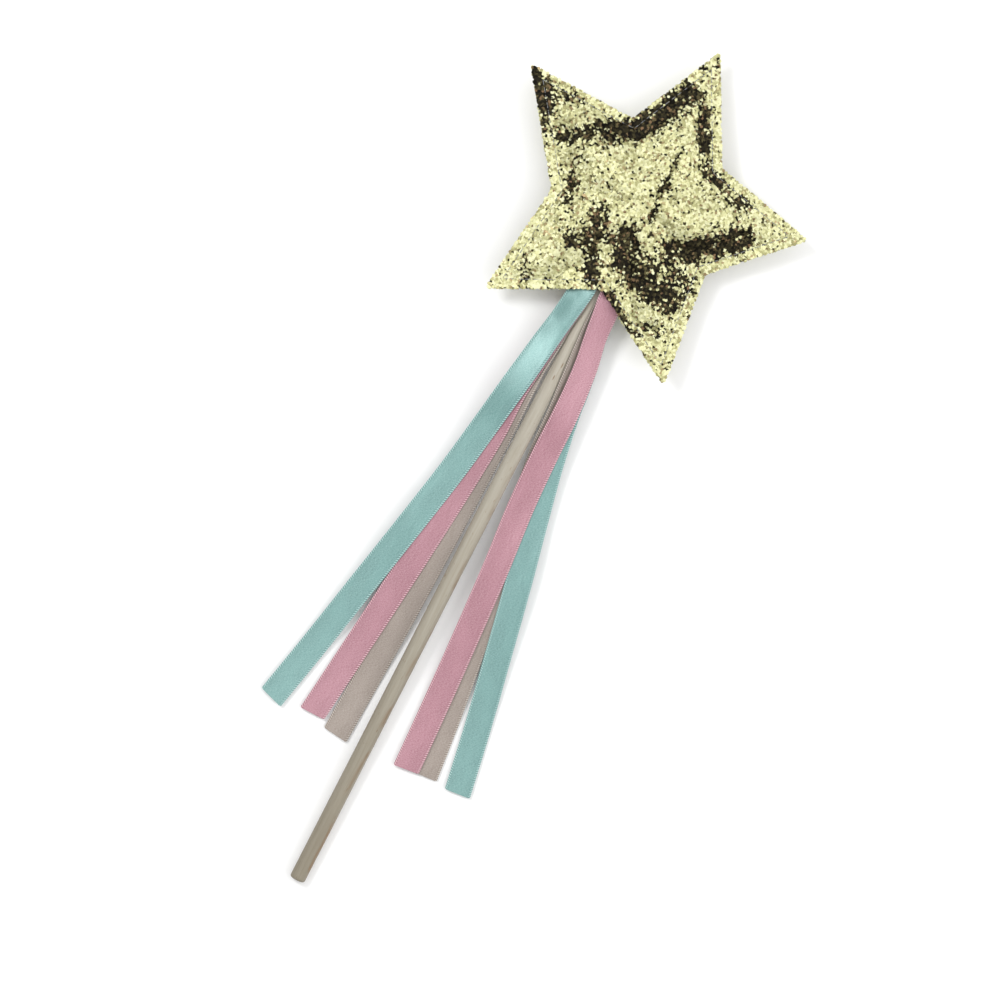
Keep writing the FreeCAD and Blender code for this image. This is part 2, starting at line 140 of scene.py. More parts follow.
bpy.ops.object.camera_add(
    location=(VIEW_CENTRE.x, VIEW_CENTRE.y, CAMERA_HEIGHT), rotation=(0, 0, TURN)
)
camera = bpy.context.object
camera.data.sensor_width = SENSOR
camera.data.lens = SENSOR * CAMERA_HEIGHT / FIELD
scene = bpy.context.scene
scene.camera = camera
scene.view_settings.view_transform = "Standard"
RIGHT = Vector((math.cos(TURN), math.sin(TURN), 0))
UP = Vector((-math.sin(TURN), math.cos(TURN), 0))
print(f"camera lens {camera.data.lens:.1f} mm")

# %% Floor
FLOOR_SIZE, FLOOR_GREY = 6, 0.90
bpy.ops.mesh.primitive_plane_add(size=FLOOR_SIZE, location=(0, 0, 0))
floor = bpy.context.object
floor.name = "floor"
floor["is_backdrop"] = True
paper = bpy.data.materials.new("floor_paper")
paper.use_nodes = True
paper_shader = paper.node_tree.nodes["Principled BSDF"]
paper_shader.inputs["Base Color"].default_value = (FLOOR_GREY, FLOOR_GREY, FLOOR_GREY, 1)
paper_shader.inputs["Roughness"].default_value = 0.9
floor.data.materials.append(paper)


# %% Lights
def softbox(name, place, aim, size, power):
    """A square lamp at a place, facing a point."""
    bpy.ops.object.light_add(type="AREA", location=place)
    lamp = bpy.context.object
    lamp.name = name
    lamp.data.size = size
    lamp.data.energy = power
    lamp.rotation_euler = (Vector(aim) - Vector(place)).to_track_quat("-Z", "Y").to_euler()


KEY_PLACE = VIEW_CENTRE - RIGHT * 0.60 + UP * 0.55 + Vector((0, 0, 1.15))
RIM_PLACE = VIEW_CENTRE + Vector((0.85, 0.25, 0.55))
softbox("key", KEY_PLACE, VIEW_CENTRE, size=0.42, power=8.4)
softbox("rim", RIM_PLACE, VIEW_CENTRE, size=1.0, power=4.2)


# %% [markdown]
# ## Finishes
#
# Every finish is made of nodes. `Finish` is a small helper that adds nodes and joins them, so that
# each material below reads as a recipe. Two effects are node groups with named inputs:
# `flake_cells`, the mosaic under the glitter, and `satin_weave`, the fine warp of a ribbon with its
# stitched edges, which the three ribbons share.

# %% A helper that writes node recipes
class Finish:
    """The nodes of one material or one group."""

    def __init__(self, tree):
        self.tree = tree

    def add(self, kind, links=None, **settings):
        """Adds a node. Links maps an input to a value or to another node's output."""
        node = self.tree.nodes.new(kind)
        for name, value in settings.items():
            setattr(node, name, value)
        for key, value in (links or {}).items():
            self.put(node, key, value)
        return node

    def put(self, node, key, value):
        socket = node.inputs[key]
        if isinstance(value, bpy.types.NodeSocket):
            self.tree.links.new(value, socket)
        else:
            socket.default_value = value

    def math(self, operation, a, b=0.0):
        return self.add("ShaderNodeMath", {0: a, 1: b}, operation=operation).outputs[0]

    def ramp(self, share, stops):
        """Colours along a share from 0 to 1."""
        node = self.add("ShaderNodeValToRGB", {0: share})
        band = node.color_ramp
        while len(band.elements) < len(stops):
            band.elements.new(1)
        for element, (place, colour) in zip(band.elements, stops):
            element.position = place
            element.color = (*colour, 1)
        return node.outputs[0]

    def mix(self, share, a, b, blend="MIX"):
        """Two colours mixed by a share."""
        node = self.add("ShaderNodeMix", data_type="RGBA", blend_type=blend)
        self.put(node, 0, share)
        self.put(node, 6, a if isinstance(a, bpy.types.NodeSocket) else (*a, 1))
        self.put(node, 7, b if isinstance(b, bpy.types.NodeSocket) else (*b, 1))
        return node.outputs[2]

    def between(self, value, low, high, to_low=0.0, to_high=1.0):
        node = self.add(
            "ShaderNodeMapRange",
            {"Value": value, "From Min": low, "From Max": high, "To Min": to_low, "To Max": to_high},
        )
        return node.outputs[0]

    def millimetres(self, stretch=(1, 1, 1)):
        """Object coordinates in millimetres, squeezed along each axis."""
        where = self.add("ShaderNodeTexCoord").outputs["Object"]
        size = tuple(s / MM for s in stretch)
        return self.add("ShaderNodeMapping", {"Vector": where, "Scale": size}).outputs[0]

    def noise(self, vector, scale, detail=2.0, roughness=0.5):
        node = self.add(
            "ShaderNodeTexNoise",
            {"Vector": vector, "Scale": scale, "Detail": detail, "Roughness": roughness},
        )
        return node.outputs["Fac"]

    def bump(self, height, depth, strength=1.0):
        node = self.add(
            "ShaderNodeBump", {"Height": height, "Distance": depth, "Strength": strength}
        )
        return node.outputs["Normal"]


def new_finish(name):
    """An empty material with its Principled shader."""
    material = bpy.data.materials.new(name)
    material.use_nodes = True
    return material, Finish(material.node_tree), material.node_tree.nodes["Principled BSDF"]


def new_group(name, inputs, outputs):
    """A node group with named sockets: (name, kind) for each."""
    tree = bpy.data.node_groups.new(name, "ShaderNodeTree")
    for label, kind in inputs:
        tree.interface.new_socket(name=label, in_out="INPUT", socket_type=f"NodeSocket{kind}")
    for label, kind in outputs:
        tree.interface.new_socket(name=label, in_out="OUTPUT", socket_type=f"NodeSocket{kind}")
    recipe = Finish(tree)
    return tree, recipe, recipe.add("NodeGroupInput"), recipe.add("NodeGroupOutput")


# %% [markdown]
# ### The studio's light
#
# The world is a light tent: a bright patch overhead, tipped a little towards the star, that fades
# into a dimmer surround. The camera itself sees plain white behind the floor.

# %% Light tent
TENT_AIM = Vector((0.32, 0.26, 1)).normalized()
TENT_EDGE, TENT_HEART = 0.55, 0.95
TENT_DIM, TENT_BRIGHT = 0.56, 1.42
world = bpy.data.worlds.new("light_tent")
world.use_nodes = True
scene.world = world
recipe = Finish(world.node_tree)
background = world.node_tree.nodes["Background"]
look = recipe.add("ShaderNodeTexCoord").outputs["Generated"]
toward = recipe.add(
    "ShaderNodeVectorMath", {0: look, 1: tuple(TENT_AIM)}, operation="DOT_PRODUCT"
).outputs["Value"]
glow = recipe.add(
    "ShaderNodeMapRange",
    {"Value": toward, "From Min": TENT_EDGE, "From Max": TENT_HEART,
     "To Min": TENT_DIM, "To Max": TENT_BRIGHT},
    interpolation_type="SMOOTHSTEP",
).outputs[0]
seen = recipe.add("ShaderNodeLightPath").outputs["Is Camera Ray"]
recipe.put(background, "Color", (1, 1, 1, 1))
strength = recipe.add("ShaderNodeMix", {"Factor": seen, "A": glow, "B": 1.0}, data_type="FLOAT")
recipe.put(background, "Strength", strength.outputs[0])

# %% [markdown]
# ### Glitter
#
# Chunky glitter cloth is a backing with a layer of cut foil flakes about a millimetre across. Three
# finishes make it: the pale gold of most flakes; a near-black foil, which is painted shade for the
# flakes that turn away from the light in the creases and for a few at random; and the backing, whose
# mosaic shows in the gaps, khaki in the open and painted near black as shade in the creases. Each
# flake carries a number, `tone`, so that no two neighbours have quite the same colour, and the cloth
# carries a number from 0 to 1 that says where shade is painted.

# %% The mosaic under the flakes
cells_tree, recipe, given, made = new_group(
    "flake_cells",
    [("Vector", "Vector"), ("Cells per mm", "Float")],
    [("Tone", "Float"), ("Edge", "Float")],
)
layout = {"Vector": given.outputs["Vector"], "Scale": given.outputs["Cells per mm"]}
cells = recipe.add("ShaderNodeTexVoronoi", layout)
borders = recipe.add("ShaderNodeTexVoronoi", layout, feature="DISTANCE_TO_EDGE")
split = recipe.add("ShaderNodeSeparateColor", {0: cells.outputs["Color"]})
recipe.put(made, "Tone", split.outputs[0])
recipe.put(made, "Edge", recipe.between(borders.outputs["Distance"], 0.0, 0.12))


def add_cells(recipe, vector, per_mm):
    """Places the mosaic in a material and returns its tone and its edge mask."""
    node = recipe.add("ShaderNodeGroup", node_tree=cells_tree)
    recipe.put(node, "Vector", vector)
    recipe.put(node, "Cells per mm", per_mm)
    return node.outputs["Tone"], node.outputs["Edge"]


# %% Glitter finishes
def glitter_backing():
    material, recipe, shader = new_finish("glitter_backing")
    tone, edge = add_cells(recipe, recipe.millimetres(), 1.15)
    # Painted shade: in the creases the backing is painted near black, with its mosaic lines darkest.
    shaded_backing = recipe.ramp(
        tone,
        [(0.0, (0.006, 0.005, 0.003)), (0.45, (0.022, 0.019, 0.009)), (0.8, (0.07, 0.06, 0.03)),
         (1.0, (0.20, 0.18, 0.09))],
    )
    shaded_backing = recipe.mix(edge, (0.005, 0.004, 0.002), shaded_backing)
    # The backing where no shade is painted: khaki.
    unshaded_backing = recipe.ramp(
        tone, [(0.0, (0.01, 0.008, 0.004)), (0.4, (0.05, 0.045, 0.02)), (1.0, (0.22, 0.20, 0.10))]
    )
    wear = recipe.add("ShaderNodeAttribute", attribute_name="wear").outputs["Fac"]
    colour = recipe.mix(recipe.between(wear, 0.08, 0.4), unshaded_backing, shaded_backing)
    recipe.put(shader, "Base Color", colour)
    recipe.put(shader, "Roughness", recipe.between(tone, 0.0, 1.0, 0.42, 0.68))
    shader.inputs["Metallic"].default_value = 0.35
    shader.inputs["Specular IOR Level"].default_value = 0.25
    recipe.put(shader, "Normal", recipe.bump(edge, 0.08 * MM, 0.8))
    return material


def flake_foil(name, stops, metallic, rough, shine):
    """Foil whose colour follows each flake's own tone, with a fine brownish speckle."""
    material, recipe, shader = new_finish(name)
    tone = recipe.add("ShaderNodeAttribute", attribute_name="tone").outputs["Fac"]
    speckle = recipe.noise(recipe.millimetres(), 2.2, 2.0)
    colour = recipe.ramp(tone, stops)
    colour = recipe.mix(
        recipe.between(speckle, 0.35, 0.65, 0.0, 0.35), colour, (0.75, 0.68, 0.52), "MULTIPLY"
    )
    recipe.put(shader, "Base Color", colour)
    recipe.put(shader, "Roughness", recipe.between(tone, 0.0, 1.0, rough, rough + 0.2))
    shader.inputs["Metallic"].default_value = metallic
    shader.inputs["Specular IOR Level"].default_value = shine
    return material


BACKING = glitter_backing()
GOLD_FOIL = flake_foil(
    "gold_foil",
    [(0.0, (0.24, 0.17, 0.08)), (0.03, (0.36, 0.29, 0.14)), (0.06, (0.30, 0.28, 0.13)),
     (0.20, (0.38, 0.37, 0.17)), (0.45, (0.62, 0.62, 0.33)), (0.75, (0.75, 0.75, 0.45)),
     (1.0, (0.79, 0.80, 0.53))],
    metallic=0.40, rough=0.38, shine=0.4,
)
# Painted shade: a near-black foil for the flakes that turn away from the light in the creases, and
# for a few at random.
SHADED_FOIL = flake_foil(
    "shaded_foil",
    [(0.0, (0.004, 0.003, 0.002)), (0.4, (0.013, 0.011, 0.006)), (0.7, (0.034, 0.029, 0.014)),
     (0.9, (0.11, 0.095, 0.045)), (1.0, (0.24, 0.15, 0.085))],
    metallic=0.6, rough=0.42, shine=0.15,
)
print("glitter finishes:", BACKING.name, GOLD_FOIL.name, SHADED_FOIL.name)

# %% [markdown]
# ### Satin
#
# A single-face satin ribbon has long, smooth warp floats that run its whole length, and on each
# edge a narrow woven selvedge whose slanted ticks are about a millimetre apart. Both follow the
# ribbon, so they read the ribbon's own map, `ribbon`: across it from 0 to 1, and along it in
# ribbon widths. Soft clouds of darker colour are partly uneven weave and partly painted sheen, the
# mottling that satin shows; with fine weft flecks they keep it from looking printed. The broad sheen
# comes from the shader itself.

# %% The weave shared by the three ribbons
weave_tree, recipe, given, made = new_group(
    "satin_weave",
    [("Map", "Vector"), ("Face", "Color"), ("Tick", "Color"), ("Shade", "Color")],
    [("Color", "Color"), ("Roughness", "Float"), ("Height", "Float")],
)
TICKS_PER_WIDTH, TICK_SLANT = 10.9, 7.0
across_and_along = recipe.add("ShaderNodeSeparateXYZ", {0: given.outputs["Map"]})
across, along = across_and_along.outputs[0], across_and_along.outputs[1]
from_middle = recipe.math("ABSOLUTE", recipe.math("SUBTRACT", across, 0.5))


def streaks(across_scale, along_scale, detail, roughness):
    """A noise stretched across and along the ribbon."""
    scale = (across_scale, along_scale, 1)
    mapped = recipe.add("ShaderNodeMapping", {"Vector": given.outputs["Map"], "Scale": scale})
    return recipe.noise(mapped.outputs[0], 1.0, detail, roughness)


warp = streaks(70, 2.2, 2.0, 0.6)
cloud = streaks(1.3, 0.55, 2.0, 0.5)
weft = streaks(14, 42, 1.0, 0.5)
slant = recipe.math("MULTIPLY", from_middle, TICK_SLANT)
turns = recipe.math("ADD", recipe.math("MULTIPLY", along, TICKS_PER_WIDTH), slant)
wave = recipe.math("PINGPONG", turns, 0.5)
tick = recipe.between(wave, 0.14, 0.26)
selvedge = recipe.between(from_middle, 0.424, 0.432)
groove = recipe.math(
    "MULTIPLY", recipe.between(from_middle, 0.400, 0.415), recipe.between(from_middle, 0.434, 0.424)
)
shade, light = given.outputs["Shade"], given.outputs["Tick"]
face = recipe.mix(recipe.between(warp, 0.3, 0.7, 0.0, 0.30), given.outputs["Face"], shade)
# Painted sheen: soft clouds darken the face in patches, the mottling of satin's sheen as well as
# uneven weave.
face = recipe.mix(recipe.between(cloud, 0.38, 0.62, 0.0, 0.42), face, shade)
face = recipe.mix(recipe.between(weft, 0.38, 0.62, 0.0, 0.38), face, light)
face = recipe.mix(recipe.math("MULTIPLY", groove, 0.30), face, shade)
recipe.put(made, "Color", recipe.mix(selvedge, face, recipe.mix(tick, shade, light)))
rough = recipe.between(warp, 0.2, 0.8, 0.36, 0.46)
rougher = recipe.math("MULTIPLY", selvedge, 0.25)
recipe.put(made, "Roughness", recipe.math("ADD", rough, rougher))
relief = recipe.math(
    "ADD", recipe.math("MULTIPLY", warp, 0.25), recipe.math("MULTIPLY", tick, selvedge)
)
recipe.put(made, "Height", recipe.math("SUBTRACT", relief, recipe.math("MULTIPLY", groove, 0.6)))


def satin(name, face, shade, tick):
    material, recipe, shader = new_finish(name)
    weave = recipe.add("ShaderNodeGroup", node_tree=weave_tree)
    recipe.put(weave, "Map", recipe.add("ShaderNodeUVMap", uv_map="ribbon").outputs[0])
    for label, colour in (("Face", face), ("Tick", tick), ("Shade", shade)):
        recipe.put(weave, label, (*colour, 1))
    recipe.put(shader, "Base Color", weave.outputs["Color"])
    recipe.put(shader, "Roughness", weave.outputs["Roughness"])
    recipe.put(shader, "Normal", recipe.bump(weave.outputs["Height"], 0.06 * MM, 0.8))
    shader.inputs["Metallic"].default_value = 0.20
    shader.inputs["Specular IOR Level"].default_value = 0.9
    shader.inputs["Anisotropic"].default_value = 0.4
    shader.inputs["Sheen Weight"].default_value = 0.22
    shader.inputs["Sheen Roughness"].default_value = 0.35
    return material


SATIN = {
    "mint": satin("mint_satin", (0.132, 0.288, 0.272), (0.070, 0.176, 0.168), (0.34, 0.53, 0.51)),
    "pink": satin("pink_satin", (0.360, 0.156, 0.198), (0.236, 0.082, 0.112), (0.60, 0.37, 0.41)),
    "taupe": satin("taupe_satin", (0.276, 0.226, 0.194), (0.166, 0.126, 0.102), (0.46, 0.41, 0.36)),
}

# %% [markdown]
# ### Wood, thread, fibre and glue
#
# The dowel is bare, sanded birch: greyed beige, with faint lines along the grain and a few short
# brown flecks. Towards the free end it is painted darker, a painted shade for the light falling off
# along the wand, and dark brown streaks along its +X side grow with it. It keeps its CAD shape,
# because that shape is right. Thread, stuffing and glue hardly show, but each still gets a finish of
# its own.


# %% Wood finish
# Where the painted shade along the dowel begins and where it is full, in mm along Y.
DIMMING_FROM, DIMMING_TO = 60, -170
KNOTS = ((0.8, 43.3), (0.0, 37.8))
KNOT_WIDTH, KNOT_LENGTH = 0.22, 1.1


def birch():
    """Sanded birch. Places along it are in millimetres."""
    material, recipe, shader = new_finish("birch_dowel")
    grain = recipe.noise(recipe.millimetres((1.6, 0.035, 1.6)), 1.0, 4.0, 0.6)
    fine = recipe.noise(recipe.millimetres((7.0, 0.25, 7.0)), 1.0, 2.0, 0.5)
    cloud = recipe.noise(recipe.millimetres((0.25, 0.03, 0.25)), 1.0, 2.0)
    fleck = recipe.noise(recipe.millimetres((1.9, 0.33, 1.9)), 1.0, 1.0, 0.4)
    colour = recipe.ramp(
        grain,
        [(0.3, (0.365, 0.333, 0.268)), (0.55, (0.415, 0.386, 0.322)), (0.75, (0.448, 0.424, 0.362))],
    )
    colour = recipe.mix(recipe.between(fine, 0.35, 0.7, 0.0, 0.18), colour, (0.30, 0.25, 0.185))
    colour = recipe.mix(recipe.between(cloud, 0.35, 0.7, 0.0, 0.20), colour, (0.30, 0.265, 0.21))
    colour = recipe.mix(recipe.between(fleck, 0.735, 0.79, 0.0, 0.75), colour, (0.19, 0.11, 0.045))
    place = recipe.add("ShaderNodeSeparateXYZ", {0: recipe.millimetres()})
    # Painted shade: the wood is darkened towards the free end, where the light falls off along the
    # wand.
    dimming = recipe.between(place.outputs[1], DIMMING_FROM, DIMMING_TO)
    colour = recipe.mix(dimming, colour, (0.56, 0.53, 0.47), "MULTIPLY")
    # Dark streaks along the +X side, which grow stronger with the same darkening.
    marks = recipe.between(recipe.noise(recipe.millimetres((0.5, 0.09, 0.5)), 1.0, 2.0), 0.5, 0.66)
    side = recipe.math("MULTIPLY", recipe.between(place.outputs[0], 0.9, 2.2), dimming)
    colour = recipe.mix(recipe.math("MULTIPLY", marks, side), colour, (0.20, 0.13, 0.07))
    for x, y in KNOTS:
        far_x = recipe.math("DIVIDE", recipe.math("SUBTRACT", place.outputs[0], x), KNOT_WIDTH)
        far_y = recipe.math("DIVIDE", recipe.math("SUBTRACT", place.outputs[1], y), KNOT_LENGTH)
        far = recipe.math("ADD", recipe.math("POWER", far_x, 2.0), recipe.math("POWER", far_y, 2.0))
        colour = recipe.mix(recipe.between(far, 1.3, 0.5, 0.0, 0.8), colour, (0.17, 0.10, 0.045))
    recipe.put(shader, "Base Color", colour)
    recipe.put(shader, "Roughness", recipe.between(grain, 0.3, 0.7, 0.62, 0.5))
    recipe.put(shader, "Normal", recipe.bump(grain, 0.08 * MM, 0.5))
    return material


# %% Thread, fibre and glue finishes
def thread_finish():
    """Grey polyester thread, with the twist of its two plies as fine slanted lines: painted light on
    each ply and painted shade between them.
    """
    material, recipe, shader = new_finish("grey_thread")
    x, y, z = recipe.add("ShaderNodeSeparateXYZ", {0: recipe.millimetres()}).outputs
    slanted = recipe.math("ADD", x, recipe.math("ADD", y, z))
    ply = recipe.math("PINGPONG", recipe.math("MULTIPLY", slanted, 3.2), 0.5)
    lit = recipe.between(ply, 0.1, 0.4)
    recipe.put(shader, "Base Color", recipe.mix(lit, (0.16, 0.165, 0.17), (0.40, 0.41, 0.42)))
    recipe.put(shader, "Roughness", recipe.between(ply, 0.0, 0.5, 0.65, 0.45))
    recipe.put(shader, "Normal", recipe.bump(ply, 0.04 * MM, 0.6))
    return material


def fibre_finish():
    """White polyester stuffing, matted and soft."""
    material, recipe, shader = new_finish("stuffing_fibre")
    tuft = recipe.noise(recipe.millimetres(), 0.35, 5.0, 0.7)
    recipe.put(shader, "Base Color", recipe.mix(tuft, (0.62, 0.61, 0.58), (0.88, 0.87, 0.85)))
    recipe.put(shader, "Roughness", recipe.between(tuft, 0.2, 0.8, 0.85, 0.97))
    recipe.put(shader, "Normal", recipe.bump(tuft, 0.6 * MM, 0.8))
    return material


def glue_finish():
    """Hot glue: cloudy, slightly yellow and glossy."""
    material, recipe, shader = new_finish("clouded_glue")
    cloud = recipe.noise(recipe.millimetres(), 0.5, 3.0, 0.6)
    recipe.put(shader, "Base Color", recipe.mix(cloud, (0.62, 0.58, 0.46), (0.80, 0.77, 0.66)))
    recipe.put(shader, "Roughness", recipe.between(cloud, 0.3, 0.7, 0.22, 0.4))
    shader.inputs["Subsurface Weight"].default_value = 0.3
    shader.inputs["Subsurface Scale"].default_value = 2 * MM
    return material


THREAD = thread_finish()
FIBRE = fibre_finish()


def dress(piece, material):
    """Gives a piece one finish in place of what it had."""
    piece.data.materials.clear()
    piece.data.materials.append(material)


dress(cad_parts["dowel"], birch())
dress(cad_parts["glue_bead"], glue_finish())

# %% [markdown]
# ## The stuffed star
#
# The star is two glitter-cloth faces laid back to back, topstitched 3 mm inside their raw edges and
# stuffed. It is made as it is sewn: one flat star for the front, a turned copy for the back, and
# the two joined at the raw edge. Then the seam allowance is held and Blender's cloth is blown up
# from inside, with a little spare cloth so that it puckers along the seam as a stuffed star does.

# %% The outline of the star
STAR_CENTRE = Vector((0, 110.3, 11)) * MM
MIDDLE = np.array(STAR_CENTRE[:2])
# Each corner is how far it is from the middle, in mm, and in which direction, in degrees.
CORNERS = [
    (64.7, 90), (33.0, 52.3), (63.4, 15.5), (34.9, -20.1), (67.3, -55.9),
    (34.8, -89), (65.9, -125.3), (34.0, -163.8), (67.4, 155), (32.7, 122.5),
]
OUTLINE = np.array(
    [(r * math.cos(math.radians(a)), r * math.sin(math.radians(a))) for r, a in CORNERS]
) * MM
# The seam starts at this share of the way out.
HEM_SHARE = 0.875


def from_centre(points):
    """Points seen from the middle of the star, flat."""
    return points[:, :2] - MIDDLE


# A point on the line between two wedges counts as in both.
ON_LINE = 1e-6


def outline_share(flat):
    """How far out each point is, from 0 at the star's middle to 1 at the raw edge."""
    share = np.zeros(len(flat))
    for near, far in zip(OUTLINE, np.roll(OUTLINE, -1, axis=0)):
        area = near[0] * far[1] - near[1] * far[0]
        a = (flat[:, 0] * far[1] - flat[:, 1] * far[0]) / area
        b = (near[0] * flat[:, 1] - near[1] * flat[:, 0]) / area
        inside = (a > -ON_LINE) & (b > -ON_LINE)
        share[inside] = (a + b)[inside]
    return share


# %% Cut two flat stars and join their raw edges
CIRCLE = 50 * MM
CUTS_PER_EDGE = 23
bpy.ops.mesh.primitive_circle_add(
    vertices=len(CORNERS), radius=CIRCLE, fill_type="TRIFAN", location=STAR_CENTRE
)
pillow = settle(bpy.context.object, "pillow")
points = points_of(pillow)
flat = from_centre(points)
on_rim = np.hypot(*flat.T) > CIRCLE / 5
# The first corner is the top one. Just under a full turn, so that it isn't taken for the last.
clockwise = np.degrees(math.pi / 2 - np.arctan2(flat[:, 1], flat[:, 0])) % 359.9
order = [i for i in np.argsort(clockwise) if on_rim[i]]
for corner, place in zip(order, OUTLINE):
    points[corner, :2] = place + MIDDLE
set_points(pillow, points)
for side in ("front", "back"):
    pillow.data.materials.append(BACKING)
bpy.ops.object.mode_set(mode="EDIT")
bpy.ops.mesh.select_all(action="SELECT")
bpy.ops.mesh.normals_make_consistent(inside=False)
bpy.ops.mesh.subdivide(number_cuts=CUTS_PER_EDGE)
bpy.ops.mesh.duplicate()
bpy.ops.mesh.flip_normals()
pillow.active_material_index = 1
bpy.ops.object.material_slot_assign()
bpy.ops.object.mode_set(mode="OBJECT")
if pillow.data.polygons[0].normal.z < 0:
    raise RuntimeError("the front of the star faces down")
print("flat star:", len(pillow.data.polygons), "faces")

# %% Hold the seam allowance and blow up the cloth
points = points_of(pillow)
share = outline_share(from_centre(points))
back = np.zeros(len(points), bool)
for face in pillow.data.polygons:
    if face.material_index == 1:
        back[list(face.vertices)] = True
START_DOME, START_GAP = 5 * MM, 0.05 * MM
RAW_EDGE = 0.999
SAME_PLACE = 0.01 * MM
dome = START_DOME * (1 - np.clip(share / HEM_SHARE, 0, 1) ** 2)
dome += START_GAP * (share < RAW_EDGE)
points[:, 2] += np.where(back, -dome, dome)
set_points(pillow, points)
bpy.ops.object.mode_set(mode="EDIT")
bpy.ops.mesh.select_all(action="SELECT")
bpy.ops.mesh.remove_doubles(threshold=SAME_PLACE)
bpy.ops.object.mode_set(mode="OBJECT")
share = outline_share(from_centre(points_of(pillow)))
hem = pillow.vertex_groups.new(name="seam_allowance")
HEM_START = HEM_SHARE - 0.002
hem.add([int(i) for i in np.flatnonzero(share > HEM_START)], 1.0, "REPLACE")

LAST_STEP = 20
pick(pillow)
cloth = pillow.modifiers.new("Cloth", "CLOTH")
cloth.settings.quality = 6
cloth.settings.mass = 0.3
cloth.settings.tension_stiffness = 30
cloth.settings.compression_stiffness = 10
cloth.settings.shear_stiffness = 10
cloth.settings.bending_stiffness = 2.0
cloth.settings.vertex_group_mass = "seam_allowance"
cloth.settings.use_pressure = True
cloth.settings.uniform_pressure_force = 9
cloth.settings.shrink_min = -0.07
cloth.settings.effector_weights.gravity = 0
cloth.collision_settings.use_collision = False
cloth.point_cache.frame_start = 1
cloth.point_cache.frame_end = LAST_STEP
for step in range(1, LAST_STEP + 1):
    scene.frame_set(step)
bpy.ops.object.modifier_apply(modifier="Cloth")


def relax_pillow(rounds):
    """Smooths the pillow everywhere but on its seam allowance."""
    apply_modifier(
        pillow, "SMOOTH", factor=0.5, iterations=rounds, vertex_group="seam_allowance",
        invert_vertex_group=True,
    )


relax_pillow(6)
heights = points_of(pillow)[:, 2] - STAR_CENTRE.z
print(f"blown up from {heights.min() / MM:.1f} to {heights.max() / MM:.1f} mm about the seam")

# %% [markdown]
# The stuffing is not even, and the star lies on a table. So the swollen shape is brought to the
# star's real thickness, its back is pressed flat where it touches the table, and the stiff cloth
# gets the slack folds of a lightly filled star. A blown-up cloth stands too steep along its seam, so
# it is mixed with a shape that rises evenly from the seam to the middle.

# %% Bring the star to its real thickness
CROWN = 10.1 * MM
BLOWN_PART = 0.55
CLOTH_THICKNESS = 0.8 * MM
FOLD_SIZE, FOLD_DEPTH = 17, 0.9
PUCKER_SIZE, PUCKER_DEPTH = 4.5, 0.30
SAG = 0.3
SLACK_FADE = 0.12
points = points_of(pillow)
swell = points[:, 2] - STAR_CENTRE.z
share = outline_share(from_centre(points))
for side in (1, -1):
    mine = swell * side > 0
    swell[mine] *= CROWN / np.abs(swell[mine]).max()
slope = 1 - np.clip(share / HEM_SHARE, 0, 1)
swell = BLOWN_PART * swell + (1 - BLOWN_PART) * CROWN * np.sign(swell) * (1 - (1 - slope) ** 2)
free = np.clip((HEM_SHARE - share) / SLACK_FADE, 0, 1)
for i in np.flatnonzero(free > 0):
    x, y = points[i, :2] / MM
    side = np.sign(swell[i])
    fold = noise.noise(Vector((x / FOLD_SIZE, y / FOLD_SIZE, 3.0 * side)))
    pucker = noise.noise(Vector((x / PUCKER_SIZE, y / PUCKER_SIZE, 7.0 * side)))
    swell[i] += (FOLD_DEPTH * fold + PUCKER_DEPTH * pucker - SAG) * free[i] * MM * side
points[:, 2] = STAR_CENTRE.z + np.clip(swell, -(STAR_CENTRE.z - CLOTH_THICKNESS), CROWN)
set_points(pillow, points)
relax_pillow(4)


# %% [markdown]
# The ribbons and the dowel leave through a gap in the seam at the lowest notch. There the front
# face is lifted into a low roof over the ribbons, and the back face is pressed down under the
# dowel. Elsewhere the raw edges wave up and down a little, as stiff cloth does.

# %% Split the star into its two faces and open the mouth
def keep_side(side, name):
    """A copy of the pillow with only its front (0) or its back (1)."""
    pick(pillow)
    bpy.ops.object.duplicate()
    piece = settle(bpy.context.object, name)
    bpy.ops.object.mode_set(mode="EDIT")
    bpy.ops.mesh.select_all(action="DESELECT")
    piece.active_material_index = 1 - side
    bpy.ops.object.material_slot_select()
    bpy.ops.mesh.delete(type="FACE")
    bpy.ops.object.mode_set(mode="OBJECT")
    bpy.ops.object.vertex_group_remove(all=True)
    dress(piece, BACKING)
    return piece


def smooth_step(value):
    value = np.clip(value, 0, 1)
    return value * value * (3 - 2 * value)


NOTCH_Y = 75.505 * MM
# The roof over the ribbons: half its width, its ridge, how it falls, and how deep it goes in.
MOUTH_HALF = 12.3 * MM
MOUTH_TOP = 17.1 * MM
MOUTH_FALL = 0.30
MOUTH_DEPTH, MOUTH_FADE = 32 * MM, 8 * MM
MOUTH_HEM, MOUTH_SIDE = 4.5 * MM, 4 * MM
# The trough under the dowel, whose middle is this high.
DOWEL_HEIGHT = 11 * MM
TROUGH_RADIUS, TROUGH_GAP = 3.5 * MM, 0.2 * MM
TROUGH_HALF, TROUGH_TOP = 7 * MM, 7.6 * MM
# The wave of the loose edge, which leaves the mouth alone.
WAVE, WAVE_SIZE = 2.6 * MM, 27 * MM
WAVE_CLEAR, WAVE_FADE = 18 * MM, 12 * MM
WAVE_START, WAVE_GROWTH = 0.5, 0.4


def roof_lift(reach):
    """How far the roof of the mouth rises above the seam, at a distance from the dowel."""
    rise = MOUTH_TOP - MOUTH_FALL * reach - STAR_CENTRE.z
    return rise * smooth_step((MOUTH_HALF + MOUTH_HEM - reach) / MOUTH_SIDE)


